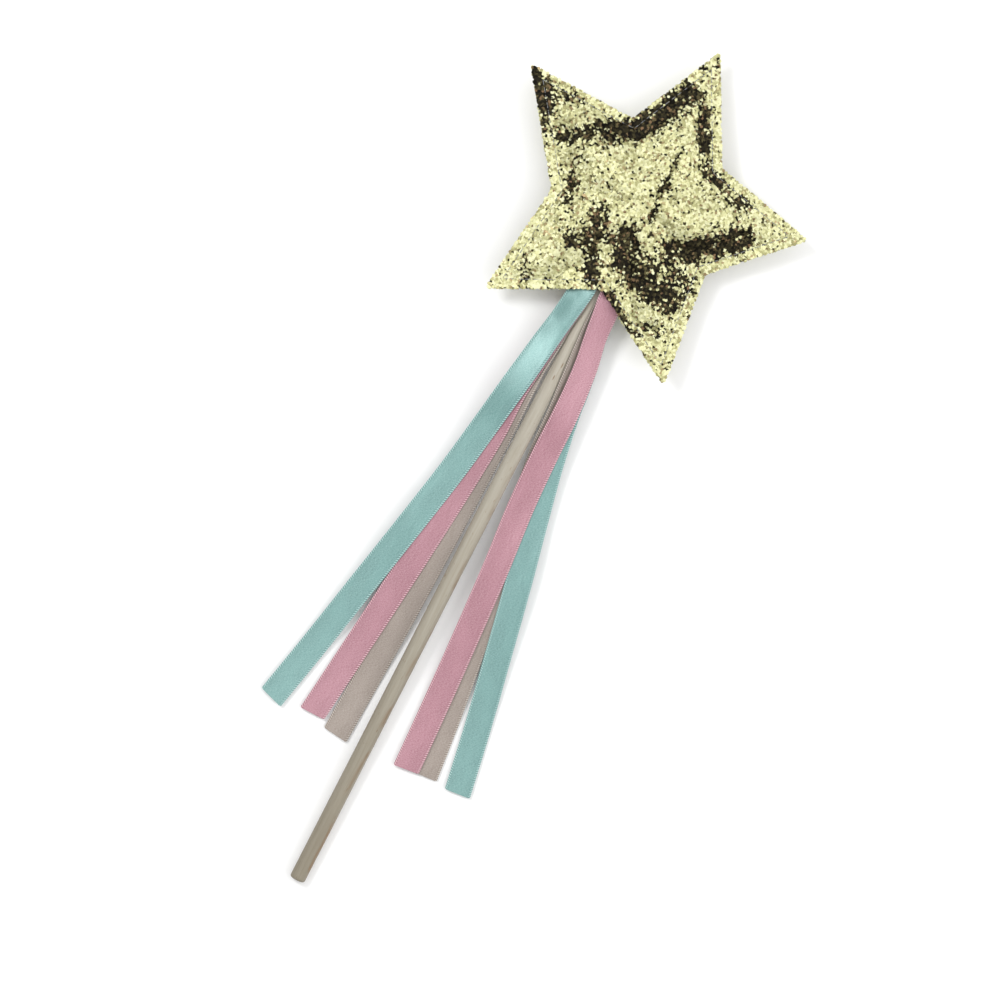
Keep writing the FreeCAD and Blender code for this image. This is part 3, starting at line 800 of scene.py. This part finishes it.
def open_mouth(piece, up):
    """Lifts the front over the ribbons, or presses the back down under the dowel."""
    points = points_of(piece)
    reach = np.abs(points[:, 0])
    inward = points[:, 1] - NOTCH_Y
    near = smooth_step((MOUTH_DEPTH - inward) / MOUTH_FADE)
    if up:
        lifted = np.maximum(points[:, 2], STAR_CENTRE.z + roof_lift(reach))
    else:
        trough = np.sqrt(TROUGH_RADIUS ** 2 - np.minimum(reach, TROUGH_RADIUS) ** 2)
        under = np.minimum(DOWEL_HEIGHT - trough - TROUGH_GAP, TROUGH_TOP)
        soft = smooth_step((TROUGH_HALF - reach) / MOUTH_SIDE)
        lifted = np.minimum(points[:, 2], STAR_CENTRE.z + (under - STAR_CENTRE.z) * soft)
    lower_half = points[:, 1] < STAR_CENTRE.y
    points[:, 2] += (lifted - points[:, 2]) * near * lower_half
    set_points(piece, points)


def edge_wave(x, y):
    """How far the loose edge of the star waves up or down at a place."""
    spot = np.array([[x, y]]) - MIDDLE
    out = smooth_step((outline_share(spot)[0] - WAVE_START) / WAVE_GROWTH)
    clear = smooth_step((math.hypot(x, y - NOTCH_Y) - WAVE_CLEAR) / WAVE_FADE)
    return WAVE * float(out * clear) * noise.noise(Vector((x / WAVE_SIZE, y / WAVE_SIZE, 4.6)))


front_cloth = keep_side(0, "front_cloth")
back_cloth = keep_side(1, "back_cloth")
for piece in (front_cloth, back_cloth):
    apply_modifier(piece, "SUBSURF", levels=1, render_levels=1)
print("front cloth:", triangles(front_cloth), "triangles before it gets its thickness")

# %% [markdown]
# Pinched creases give this star its character: the stiff cloth buckles between the arms, and in
# the folds the flakes turn away from the light. Each crease is a line of places on the star with a
# width and a depth. The same line presses the cloth in and sets a number for painted shade, which
# later says how many of the flakes there are painted dark and how dark the backing is painted.

# %% Press the creases into the front
# Places are in mm from the star's middle; then half width, depth and painted shade, the share of
# flakes there painted dark.
CREASES = [
    ([(-39, 10), (-33, 13.5), (-27, 18.5), (-20, 20.5)], 2.7, 1.0, 0.86),
    ([(-22, 20), (-16.5, 22.5), (-10.5, 30.7), (-6.6, 39), (-3.6, 45.5)], 4.0, 2.0, 0.98),
    ([(4.5, 42), (7, 36), (10.6, 30)], 2.6, 1.4, 0.93),
    ([(14, 23.5), (22.7, 20), (29.7, 17.8), (34, 17)], 2.6, 1.0, 0.70),
    ([(3.8, 24.6), (3.6, 14), (4.2, 4.8), (4.6, -4.0)], 1.25, 1.1, 0.93),
    ([(-28.5, 2.2), (-27.5, -3.6), (-24.8, -10.5)], 1.9, 1.0, 0.72),
    ([(17, -10), (25.6, -5.5), (33.3, 1.6), (39.3, 6.6)], 3.9, 1.8, 0.97),
    ([(0.5, -13), (4.5, -23), (14.6, -25.5), (25, -27)], 4.3, 1.5, 0.95),
    ([(-2.6, -16), (9, -18), (18.4, -17), (29, -19)], 3.2, 1.0, 0.66),
    ([(-12.9, -10), (-9.5, -15.8), (-14, -21), (-17.6, -23)], 3.0, 0.9, 0.84),
    ([(-9, -23.5), (-6, -29), (-3.6, -34)], 2.6, 0.8, 0.90),
    ([(-61, 26.5), (-55.6, 22), (-50, 17.5)], 4.2, 0.5, 0.95),
    ([(-51, 14), (-46, 9)], 2.4, 0.3, 0.70),
    ([(-48, 24), (-40, 24.5)], 2.2, 0.3, 0.55),
    ([(4.6, -36), (11.6, -42), (17.5, -45.8)], 2.2, 0.4, 0.88),
    ([(-14.3, 1.2), (-7.7, -0.3)], 1.2, 0.4, 0.35),
    ([(-30, 8.8), (-22.6, 13.5)], 1.4, 0.4, 0.45),
    ([(20.5, -40.4), (30.2, -38.3)], 1.8, 0.3, 0.50),
    ([(-30, -38), (-26, -43)], 1.6, 0.2, 0.40),
    ([(-1, 56), (3, 61)], 1.6, 0.2, 0.45),
]


def distance_to_line(flat, line):
    """How far each point is from a line of places."""
    best = np.full(len(flat), np.inf)
    for start, end in zip(line, line[1:]):
        start, along = np.array(start) * MM, (np.array(end) - np.array(start)) * MM
        part = np.clip(((flat - start) @ along) / (along @ along), 0, 1)
        best = np.minimum(best, np.linalg.norm(flat - start - part[:, None] * along, axis=1))
    return best


# A crease stays clear of the seam, and uses this part of the room under it.
SEAM_ROOM, ROOM_USED = 0.6 * MM, 0.7
CREASE_END, CREASE_FADE = 0.93, 0.12
# The edge of a crease wobbles by this much, and so often in a metre.
WOBBLE, WOBBLES = 2.2 * MM, 240
# The part of a crease that gets its full painted shade, in half widths, and how quickly the painted
# shade fades outside it.
SHADED_HALF, SHADE_FADE = 0.65, 2.2


def press_creases(piece, creases, press):
    """Presses the creases in and keeps where they are as an attribute, which says where shade is
    painted.
    """
    points = points_of(piece)
    flat = from_centre(points)
    wobble = np.array([
        [noise.noise(Vector((x * WOBBLES, y * WOBBLES, layer))) for layer in (1, 9)]
        for x, y in flat
    ]) * WOBBLE
    free = np.clip((CREASE_END - outline_share(flat)) / CREASE_FADE, 0, 1)
    wear = np.zeros(len(points))
    pressed = np.zeros(len(points))
    for line, half_width, depth, in_shade in creases:
        far = distance_to_line(flat + wobble, line) / (half_width * MM)
        pressed = np.maximum(pressed, depth * MM * np.exp(-far ** 2) * free)
        outside = np.maximum(far - SHADED_HALF, 0)
        # Painted shade: how many flakes are painted dark, and how dark the backing is, falls off away
        # from each crease's middle.
        wear = np.maximum(wear, in_shade * np.exp(-outside ** 2 * SHADE_FADE))
    room = press * (points[:, 2] - STAR_CENTRE.z) - SEAM_ROOM
    points[:, 2] -= press * np.clip(pressed, 0, np.maximum(room * ROOM_USED, 0))
    set_points(piece, points)
    attribute = piece.data.attributes.new("wear", "FLOAT", "POINT")
    attribute.data.foreach_set("value", wear.astype(np.float32))
    print(f"{piece.name}: {(wear > 0.4).mean():.0%} of the cloth is creased")


# The creases of the back, in the same columns, with their own painted shade.
BACK_CREASES = [
    ([(-30, 12), (-18, 4), (-8, 6)], 2.6, 0.6, 0.7),
    ([(10, 30), (6, 18), (12, 8)], 2.2, 0.6, 0.7),
    ([(30, -2), (20, -12), (22, -26)], 3.0, 0.6, 0.75),
    ([(-24, -30), (-16, -20), (-20, -12)], 2.4, 0.6, 0.6),
]
press_creases(front_cloth, CREASES, 1)
press_creases(back_cloth, BACK_CREASES, -1)
open_mouth(front_cloth, True)
open_mouth(back_cloth, False)
for piece in (front_cloth, back_cloth):
    points = points_of(piece)
    points[:, 2] += [edge_wave(x, y) for x, y in points[:, :2]]
    points[:, 2] = np.maximum(points[:, 2], CLOTH_THICKNESS)
    set_points(piece, points)

# %% [markdown]
# The flakes are real pieces of foil. One six-sided flake is modelled, flat on top and drawn to a
# blunt point below, so that it is closed with only seven faces. A scatter modifier lays some
# eleven thousand copies on each face, no two centres nearer than 0.6 mm, each turned and tilted a
# little. The dark ones, painted shade where the flakes turn away from the light, and the bright
# ones are kept as two pieces, because each has its own finish. The modifier is seeded and then
# applied, so the result is always the same.

# %% One flake of foil
FLAKE_ACROSS, FLAKE_DEPTH = 1.20 * MM, 0.12 * MM
bpy.ops.mesh.primitive_cone_add(
    vertices=6, radius1=FLAKE_ACROSS / 2 / math.cos(math.pi / 6), radius2=0, depth=FLAKE_DEPTH,
    rotation=(math.pi, 0, 0),
)
flake = settle(bpy.context.object, "flake")
FLAKE_TRIANGLES = triangles(flake)
print("one flake:", FLAKE_TRIANGLES, "triangles")


# %% Scatter the flakes
# The gap between centres, the share of flakes painted dark at random where no crease sets more, and
# how each flake is laid.
NEAREST = 0.60 * MM
MOST_PER_AREA = 9e6
SPECKLE = 0.06
FLAKE_TILT = 0.27
FLAKE_SIZES = 0.80, 1.14
FLAKE_LIFT = 0.06 * MM


def scatter_tree(name, in_shade, seed):
    """A scatter that keeps only the flakes painted dark as shade, or only the bright ones."""
    tree = bpy.data.node_groups.new(name, "GeometryNodeTree")
    tree.interface.new_socket(name="Geometry", in_out="INPUT", socket_type="NodeSocketGeometry")
    tree.interface.new_socket(name="Geometry", in_out="OUTPUT", socket_type="NodeSocketGeometry")
    recipe = Finish(tree)
    given, made = recipe.add("NodeGroupInput"), recipe.add("NodeGroupOutput")
    spread = recipe.add(
        "GeometryNodeDistributePointsOnFaces",
        {"Mesh": given.outputs[0], "Distance Min": NEAREST, "Density Max": MOST_PER_AREA,
         "Seed": seed},
        distribute_method="POISSON",
    )

    def chance(low, high, offset):
        node = recipe.add("FunctionNodeRandomValue", data_type="FLOAT")
        recipe.put(node, 2, low)
        recipe.put(node, 3, high)
        recipe.put(node, "Seed", seed + offset)
        return node.outputs[1]

    toned = recipe.add(
        "GeometryNodeStoreNamedAttribute",
        {"Geometry": spread.outputs["Points"], "Name": "tone"},
        data_type="FLOAT", domain="POINT",
    )
    recipe.put(toned, "Value", chance(0.0, 1.0, 1))
    wear = recipe.add("GeometryNodeInputNamedAttribute", {"Name": "wear"}, data_type="FLOAT")
    # Painted shade: in the creases most flakes go to the near-black foil; elsewhere a few do at
    # random.
    odds = recipe.math("MAXIMUM", wear.outputs[0], SPECKLE)
    is_in_shade = recipe.add(
        "FunctionNodeCompare", {0: chance(0.0, 1.0, 2), 1: odds}, operation="LESS_THAN"
    )
    unwanted = is_in_shade.outputs[0]
    if in_shade:
        unwanted = recipe.add("FunctionNodeBooleanMath", {0: unwanted}, operation="NOT").outputs[0]
    kept = recipe.add(
        "GeometryNodeDeleteGeometry",
        {"Geometry": toned.outputs[0], "Selection": unwanted}, domain="POINT",
    )
    source = recipe.add("GeometryNodeObjectInfo", {"Object": flake})
    tilt = recipe.add("FunctionNodeRandomValue", data_type="FLOAT_VECTOR")
    recipe.put(tilt, 0, (-FLAKE_TILT, -FLAKE_TILT, 0.0))
    recipe.put(tilt, 1, (FLAKE_TILT, FLAKE_TILT, 6.28))
    recipe.put(tilt, "Seed", seed + 3)
    turned = recipe.add("FunctionNodeEulerToRotation", {0: tilt.outputs[0]})
    facing = recipe.add(
        "FunctionNodeRotateRotation",
        {"Rotation": spread.outputs["Rotation"], "Rotate By": turned.outputs[0]},
        rotation_space="LOCAL",
    )
    held_facing = recipe.add(
        "GeometryNodeStoreNamedAttribute",
        {"Geometry": spread.outputs["Points"], "Name": "facing"},
        data_type="QUATERNION", domain="POINT",
    )
    recipe.put(held_facing, "Value", facing.outputs[0])
    recipe.put(toned, "Geometry", held_facing.outputs[0])
    read_facing = recipe.add(
        "GeometryNodeInputNamedAttribute", {"Name": "facing"}, data_type="QUATERNION"
    )
    laid = recipe.add(
        "GeometryNodeInstanceOnPoints",
        {"Points": kept.outputs[0], "Instance": source.outputs["Geometry"],
         "Rotation": read_facing.outputs[0], "Scale": chance(*FLAKE_SIZES, 4)},
    )
    real = recipe.add("GeometryNodeRealizeInstances", {"Geometry": laid.outputs[0]})
    recipe.put(made, 0, real.outputs[0])
    return tree


def scatter_flakes(cloth, name, in_shade, seed, material):
    """Lays flakes on the outside of a face of the star."""
    pick(cloth)
    bpy.ops.object.duplicate()
    piece = settle(bpy.context.object, name)
    bpy.ops.object.mode_set(mode="EDIT")
    bpy.ops.mesh.select_all(action="SELECT")
    bpy.ops.transform.shrink_fatten(value=CLOTH_THICKNESS + FLAKE_LIFT)
    bpy.ops.object.mode_set(mode="OBJECT")
    modifier = piece.modifiers.new("Scatter", "NODES")
    modifier.node_group = scatter_tree(f"{name}_scatter", in_shade, seed)
    bpy.ops.object.modifier_apply(modifier="Scatter")
    dress(piece, material)
    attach(piece, "wand")
    count = triangles(piece) // FLAKE_TRIANGLES
    print(f"{name}: {count} flakes, {triangles(piece)} triangles")


for cloth, side, seed in ((front_cloth, "front", 3), (back_cloth, "back", 8)):
    scatter_flakes(cloth, f"{side}_gold_flakes", False, seed, GOLD_FOIL)
    scatter_flakes(cloth, f"{side}_bronze_flakes", True, seed, SHADED_FOIL)
bpy.data.objects.remove(flake)

# %% Give the cloth its thickness
for piece, node in ((front_cloth, "star_front_cover"), (back_cloth, "star_back_cover")):
    apply_modifier(piece, "SOLIDIFY", thickness=CLOTH_THICKNESS, offset=1.0)
    bpy.ops.object.shade_smooth_by_angle(angle=math.radians(40))
    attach(piece, "wand")
    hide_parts(node)
    print(f"{piece.name}: {triangles(piece)} triangles")

# %% [markdown]
# The stuffing never shows from outside, but it is what holds the star up, so it is there: the
# blown-up shape once more, drawn in so that it ends at the seam, with a lumpy surface. Wherever a
# crease comes near, the stuffing gives way, so that it always stays inside the cloth.

# %% The stuffing
DRAWN_IN, FLATTER = 0.84, 0.90
STUFFING_GAP, LEAST_STUFFING = 0.5 * MM, 0.05 * MM
LUMP_DEPTH, LUMP_SIZE = 0.07, 3
stuffing = settle(pillow, "stuffing")
points = points_of(stuffing)
points[:, :2] = from_centre(points) * DRAWN_IN + MIDDLE
swell = (points[:, 2] - STAR_CENTRE.z) * FLATTER
bpy.context.view_layer.update()
graph = bpy.context.evaluated_depsgraph_get()
walls = {1: BVHTree.FromObject(front_cloth, graph), -1: BVHTree.FromObject(back_cloth, graph)}
for i in range(len(points)):
    side = 1 if swell[i] > 0 else -1
    x, y = points[i, :2]
    spot = Vector((x / MM / LUMP_SIZE, y / MM / LUMP_SIZE, 2.0 * side))
    lump = 1 - LUMP_DEPTH * abs(noise.noise(spot))
    level = STAR_CENTRE.z + edge_wave(x, y)
    wall = walls[side].ray_cast(Vector((x, y, level)), Vector((0, 0, side)))[0]
    room = abs(wall.z - level) - STUFFING_GAP if wall else 0.0
    thick = max(min(abs(swell[i]) * lump, room), LEAST_STUFFING * (abs(swell[i]) > 0))
    points[i, 2] = level + side * thick
set_points(stuffing, points)
bpy.ops.object.vertex_group_remove(all=True)
dress(stuffing, FIBRE)
bpy.ops.object.shade_smooth()
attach(stuffing, "wand")
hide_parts("star_filling")
print("stuffing:", triangles(stuffing), "triangles")

# %% [markdown]
# ## Topstitching
#
# A grey thread runs 3 mm inside the raw edge, in stitches about 2.2 mm long that dive into the
# cloth at both ends. One stitch is modelled from a cylinder with bevelled ends and pulled down at
# both, and copies of it follow each edge of the star, front and back.

# %% One stitch
STITCH_LENGTH, STITCH_PITCH, THREAD_WIDTH = 2.3 * MM, 2.8 * MM, 0.36 * MM
STITCH_DIVE = 0.22 * MM
# In mm, along the line from the middle to a notch: across the raw edge that is about 3 mm.
NOTCH_REACH, STITCH_INSET = 34.8, 3.63
STITCH_SHARE = 1 - STITCH_INSET / NOTCH_REACH
bpy.ops.mesh.primitive_cylinder_add(
    vertices=6, radius=THREAD_WIDTH / 2, depth=STITCH_LENGTH, rotation=(0, math.pi / 2, 0)
)
stitch = settle(bpy.context.object, "stitch")
bpy.ops.object.mode_set(mode="EDIT")
bpy.ops.mesh.select_all(action="DESELECT")
bpy.ops.object.mode_set(mode="OBJECT")
for edge in stitch.data.edges:
    ends = [stitch.data.vertices[i].co.x for i in edge.vertices]
    edge.select = abs(ends[0] - ends[1]) < STITCH_LENGTH / 20
bpy.ops.object.mode_set(mode="EDIT")
bpy.ops.mesh.bevel(offset=THREAD_WIDTH * 0.3, segments=1)
bpy.ops.object.mode_set(mode="OBJECT")
points = points_of(stitch)
points[:, 2] -= STITCH_DIVE * (np.abs(points[:, 0]) / (STITCH_LENGTH / 2)) ** 4
set_points(stitch, points)
bpy.ops.object.shade_smooth()
print("one stitch:", triangles(stitch), "triangles")


# %% Sew both faces
BELOW_MIDDLE = 20 * MM


def sew(name, height, node):
    """Lays stitches round the star at one height."""
    copies = []
    line = OUTLINE * STITCH_SHARE + MIDDLE
    for start, end in zip(line, np.roll(line, -1, axis=0)):
        run = Vector(end - start)
        count = max(1, round(run.length / STITCH_PITCH))
        for i in range(count):
            place = Vector(start) + run * ((i + 0.5) / count)
            over_mouth = abs(place.x) < MOUTH_HALF + 3 * MM and place.y < STAR_CENTRE.y - BELOW_MIDDLE
            lift = float(roof_lift(abs(place.x))) if over_mouth and height > 0 else 0.0
            copy = stitch.copy()
            copy.data = stitch.data.copy()
            lift += edge_wave(place.x, place.y)
            copy.location = (place.x, place.y, STAR_CENTRE.z + height + lift)
            copy.rotation_euler = (0 if height > 0 else math.pi, 0, math.atan2(run.y, run.x))
            bpy.context.collection.objects.link(copy)
            copies.append(copy)
    pick(*copies)
    bpy.ops.object.join()
    piece = settle(bpy.context.object, name)
    dress(piece, THREAD)
    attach(piece, "wand")
    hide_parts(node)
    print(f"{name}: {len(copies)} stitches, {triangles(piece)} triangles")


THREAD_GAP = 0.30 * MM
THREAD_LIFT = CLOTH_THICKNESS + THREAD_GAP
sew("front_stitches", THREAD_LIFT, "needle_thread")
sew("back_stitches", -THREAD_LIFT, "bobbin_thread")
bpy.data.objects.remove(stitch)

# %% [markdown]
# ## Ribbons
#
# Three 10 mm ribbons are folded over the dowel inside the star, so six tails leave the mouth. They
# slope down beside the dowel, lie on each other, reach the table and fan out. Each tail is a strip
# woven flat and then laid along its route: where its inner edge is, how high it rides and how far
# it leans to the side. A tail that the imported model splits into several stretches is cut the same
# way, one piece for each, and the cuts lie where the stretches touch.

# %% The routes of the tails
RIBBON_WIDTH = 10 * MM
RIBBON_THICKNESS = 0.28 * MM
LAYER_STEP = 0.5 * MM
DOWEL_RADIUS = 3 * MM
# Millimetres down the wand from the notch. The last one is about at the cut ends. At each stop:
# the height, as a share of the crown; how steeply the tails of a side lean; and how far from the
# dowel's side the inner edge of each tail lies, in mm.
STOPS = np.array([2.2, 7.2, 17.2, 27.2, 37.2, 47.2, 65.2, 85.2, 110.2, 140.2, 170.2, 194.2])
HEIGHT = [1.0, 1.0, 0.99, 0.96, 0.90, 0.80, 0.46, 0.27, 0.31, 0.15, 0.02, 0.04]
LEAN = {
    "left": [0.30, 0.38, 0.50, 0.36, 0.22, 0.12, 0.04, 0.0, 0.0, 0.0, 0.0, 0.0],
    "right": [0.30, 0.46, 0.66, 0.55, 0.44, 0.30, 0.12, 0.02, 0.0, 0.0, 0.0, 0.0],
}
INNER_EDGES = {
    "mint_left": [-2.3, -1.7, -0.1, 1.3, 2.6, 4.1, 6.8, 10.0, 14.8, 20.9, 27.0, 32.2],
    "pink_left": [-2.1, -1.8, -0.4, 0.8, 2.0, 3.1, 3.2, 4.5, 6.7, 9.7, 13.0, 15.7],
    "taupe_left": [-2.0, -1.9, -0.6, 0.0, 0.9, 1.0, 0.7, 0.8, 1.2, 1.9, 3.0, 4.0],
    "pink_right": [-1.9, -1.3, -0.1, 1.3, 2.1, 2.4, 2.4, 3.1, 5.2, 7.1, 8.7, 9.7],
    "mint_right": [-1.8, -1.2, 0.2, 1.5, 2.5, 3.0, 5.4, 9.5, 15.0, 21.1, 27.0, 31.2],
    "taupe_right": [-2.2, -2.1, -1.9, -1.3, -0.5, 0.4, 1.3, 3.9, 7.1, 10.9, 14.7, 17.1],
}
LAYERS = {
    "taupe_left": 0, "pink_left": 1, "mint_left": 2,
    "taupe_right": 0, "mint_right": 1, "pink_right": 2,
}
TOP_LAYER = 2
LAYER_LEAN = 0.05
# Where the tails lean on each other, in mm down the wand.
RAISED_FADE_IN, RAISED_END, RAISED_FADE_OUT = 14, 62, 20
TABLE_REST = 0.3 * MM
RIBBON_CROWN = 14.9 * MM
PAST_LAST_STOP = 2


def smooth_along(values, places):
    """A smooth line through the values at the stops, level before the first stop."""
    values = np.array(values, float)
    slopes = np.gradient(values, STOPS)
    slopes[0] = 0.0
    places = np.clip(places, STOPS[0], STOPS[-1] + PAST_LAST_STOP)
    i = np.clip(np.searchsorted(STOPS, places) - 1, 0, len(STOPS) - 2)
    span = STOPS[i + 1] - STOPS[i]
    t = (places - STOPS[i]) / span
    return (
        values[i] * (1 + 2 * t) * (1 - t) ** 2 + slopes[i] * span * t * (1 - t) ** 2
        + values[i + 1] * t * t * (3 - 2 * t) + slopes[i + 1] * span * t * t * (t - 1)
    )


def route(tail, down):
    """Middle of the lowest face of a tail and its lean, at places down the wand in mm."""
    side = -1 if tail.endswith("left") else 1
    height = np.clip(smooth_along(HEIGHT, down), 0, 1)
    lean = np.clip(smooth_along(LEAN[tail.split("_")[1]], down), 0, None)
    raised = smooth_step(down / RAISED_FADE_IN) * smooth_step((RAISED_END - down) / RAISED_FADE_OUT)
    lean += LAYER_LEAN * (TOP_LAYER - LAYERS[tail]) * raised
    half = RIBBON_WIDTH / 2 / np.sqrt(1 + lean ** 2)
    reach = DOWEL_RADIUS + half + smooth_along(INNER_EDGES[tail], down) * MM
    ridge = TABLE_REST + (RIBBON_CROWN - TABLE_REST) * height + LAYERS[tail] * LAYER_STEP
    z = ridge - lean * reach
    return np.stack([side * reach, NOTCH_Y - down * MM, z], 1), side * lean


# %% Weave a strip and lay it along a route
# Millimetres from one row of points to the next; then, for each column of points across the strip,
# where it is and how far the thicker selvedge stands out there.
ROW = 0.46
ACROSS = np.array([-5, -4.86, -4.55, -4.3, -2.6, -0.9, 0.9, 2.6, 4.3, 4.55, 4.86, 5]) * MM
WELT = np.array([0.02, 0.05, 0.05, 0, 0, 0, 0, 0, 0, 0.05, 0.05, 0.02]) * MM
LOOP = 0.05 * MM
CORNER_ROUND, CORNER_START, CORNER_SHARE = 0.7 * MM, 0.86, 0.15
CUT_ROWS = 10


def lay_strip(name, middle, lean, start_row, material, cut_skew=None):
    """A strip of ribbon along a line of middles, with small loops along both selvedges.

    A cut skew, in mm from one corner to the other, makes the last rows a slanted, soft-cornered end.
    """
    rows, last_column = len(middle), len(ACROSS) - 1
    bpy.ops.mesh.primitive_grid_add(x_subdivisions=last_column, y_subdivisions=rows - 1, size=1)
    strip = settle(bpy.context.object, name)
    grid = points_of(strip)
    column = np.rint((grid[:, 0] + 0.5) * last_column).astype(int)
    row = np.rint((grid[:, 1] + 0.5) * (rows - 1)).astype(int)
    forward = np.gradient(middle, axis=0)
    forward /= np.linalg.norm(forward, axis=1)[:, None]
    across = np.stack([-forward[:, 1], forward[:, 0], lean * forward[:, 1]], 1)
    across /= np.linalg.norm(across, axis=1)[:, None]
    normal = np.cross(forward, across)
    loops = LOOP * np.where((row + start_row) % 2 == 0, 1, -1) * np.isin(column, (0, last_column))
    out = ACROSS[column] + loops * np.sign(ACROSS[column])
    upward = normal[row] * WELT[column][:, None] * np.sign(normal[row][:, 2:3])
    points = middle[row] + across[row] * out[:, None] + upward
    if cut_skew is not None:
        place = ACROSS[column] / (RIBBON_WIDTH / 2)
        in_corner = np.clip((np.abs(place) - CORNER_START) / CORNER_SHARE, 0, 1)
        rounding = CORNER_ROUND * (1 - np.sqrt(1 - in_corner ** 2))
        late = np.clip(1 - (rows - 1 - row) / CUT_ROWS, 0, 1)[:, None]
        points += forward[row] * late * (cut_skew * MM / 2 * place - rounding)[:, None]
    set_points(strip, points)
    weave = strip.data.uv_layers[0]
    weave.name = "ribbon"
    corner = np.empty(len(strip.data.loops), int)
    strip.data.loops.foreach_get("vertex_index", corner)
    along = (row + start_row) * ROW * MM / RIBBON_WIDTH
    place = np.stack([ACROSS[column] / RIBBON_WIDTH + 0.5, along], 1)
    weave.data.foreach_set("uv", place[corner].ravel())
    up = strip.data.polygons[0].normal.z
    apply_modifier(strip, "SOLIDIFY", thickness=RIBBON_THICKNESS, offset=1.0 if up > 0 else -1.0)
    if up < 0:
        bpy.ops.object.mode_set(mode="EDIT")
        bpy.ops.mesh.select_all(action="SELECT")
        bpy.ops.mesh.normals_make_consistent(inside=False)
        bpy.ops.object.mode_set(mode="OBJECT")
    bpy.ops.object.shade_smooth_by_angle(angle=math.radians(35))
    dress(strip, material)
    return strip


# %% Lay the six tails
# The middle of each bend and the cuts between the stretches, in mm down the wand.
CUTS = [17.5, 37.5]
NODE_STRETCHES = {0: ["tail"], 1: ["root", "tail"], 2: ["root", "middle", "tail"]}
# How far above the notch the upper edge of each fold lies, in mm. A tail starts 9 mm below that
# edge, so it overlaps the folded strip by 1 mm.
FOLD_REACH = {"taupe": 18.8, "mint": 12.8, "pink": 24.8}
TAIL_BELOW_FOLD = 9.0
ROW_STEP = ROW * 0.98
STRETCH_NAMES = {
    1: ["ribbon"], 2: ["ribbon_upper", "ribbon_lower"],
    3: ["ribbon_upper", "ribbon_middle", "ribbon_lower"],
}
# Where each tail is cut, in mm down the wand, and how much further its +X corner reaches.
CUT_ENDS = {
    "mint_left": (193.9, 1.0), "pink_left": (192.2, -1.0), "taupe_left": (195.6, 0.8),
    "pink_right": (195.0, -0.7), "taupe_right": (194.4, 0.3), "mint_right": (194.3, 0.8),
}
for tail, layer in LAYERS.items():
    colour, side = tail.split("_")
    start = TAIL_BELOW_FOLD - FOLD_REACH[colour]
    cut_at, skew = CUT_ENDS[tail]
    down = np.arange(start, cut_at, ROW_STEP)
    middle, lean = route(tail, down)
    ends = [start] + CUTS[:layer] + [cut_at + 1]
    names = STRETCH_NAMES[layer + 1]
    for i in range(layer + 1):
        first = int(np.searchsorted(down, ends[i]))
        last = min(int(np.searchsorted(down, ends[i + 1])), len(down) - 1)
        part = slice(first, last + 1)
        piece = lay_strip(
            f"{tail}_{names[i]}", middle[part], lean[part], first, SATIN[colour],
            skew if i == layer else None,
        )
        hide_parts(f"{tail}_{NODE_STRETCHES[layer][i]}")
        length = float(np.linalg.norm(np.diff(middle[part], axis=0), axis=1).sum())
        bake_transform(piece)
        print(f"{piece.name}: {length / MM:.1f} mm, {triangles(piece)} triangles")

# %% [markdown]
# Inside the star each ribbon passes over the dowel, so a short strip lies across it and joins the
# two tails of that colour. It only shows to someone who looks into the mouth.

# %% The folded middles
# Half the span across the dowel, the fold's slope and rounding, its rise over the tails, and the
# flat length of the strip.
FOLD_HALF = 10.8
FOLD_FALL, FOLD_ROUND = 0.30, 1 * MM
FOLD_RISE = 0.32 * MM
CROSSING = 1.2
for colour, reach in FOLD_REACH.items():
    left, right = LAYERS[f"{colour}_left"], LAYERS[f"{colour}_right"]
    x = np.arange(-FOLD_HALF, FOLD_HALF + 0.01, ROW) * MM
    share = smooth_step((x / MM + CROSSING) / (2 * CROSSING))
    rise = (left + (right - left) * share) * LAYER_STEP + FOLD_RISE
    z = RIBBON_CROWN - FOLD_FALL * np.sqrt(x ** 2 + FOLD_ROUND ** 2) + rise
    y = np.full(len(x), NOTCH_Y + reach * MM - RIBBON_WIDTH / 2)
    middle = np.stack([x, y, z], 1)
    piece = lay_strip(f"{colour}_fold_strip", middle, np.zeros(len(x)), 0, SATIN[colour])
    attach(piece, "wand")
    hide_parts(f"{colour}_fold")
    print(f"{piece.name}: {triangles(piece)} triangles")

# %% [markdown]
# ## The whole object's size
#
# The box of the imported model and the box of the finished object are printed side by side.

# %% Print the two boxes and finish
shown_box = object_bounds()
for name, box in (("CAD", cad_box), ("shown", shown_box)):
    print(name, [[round(c / MM, 1) for c in corner] for corner in box])
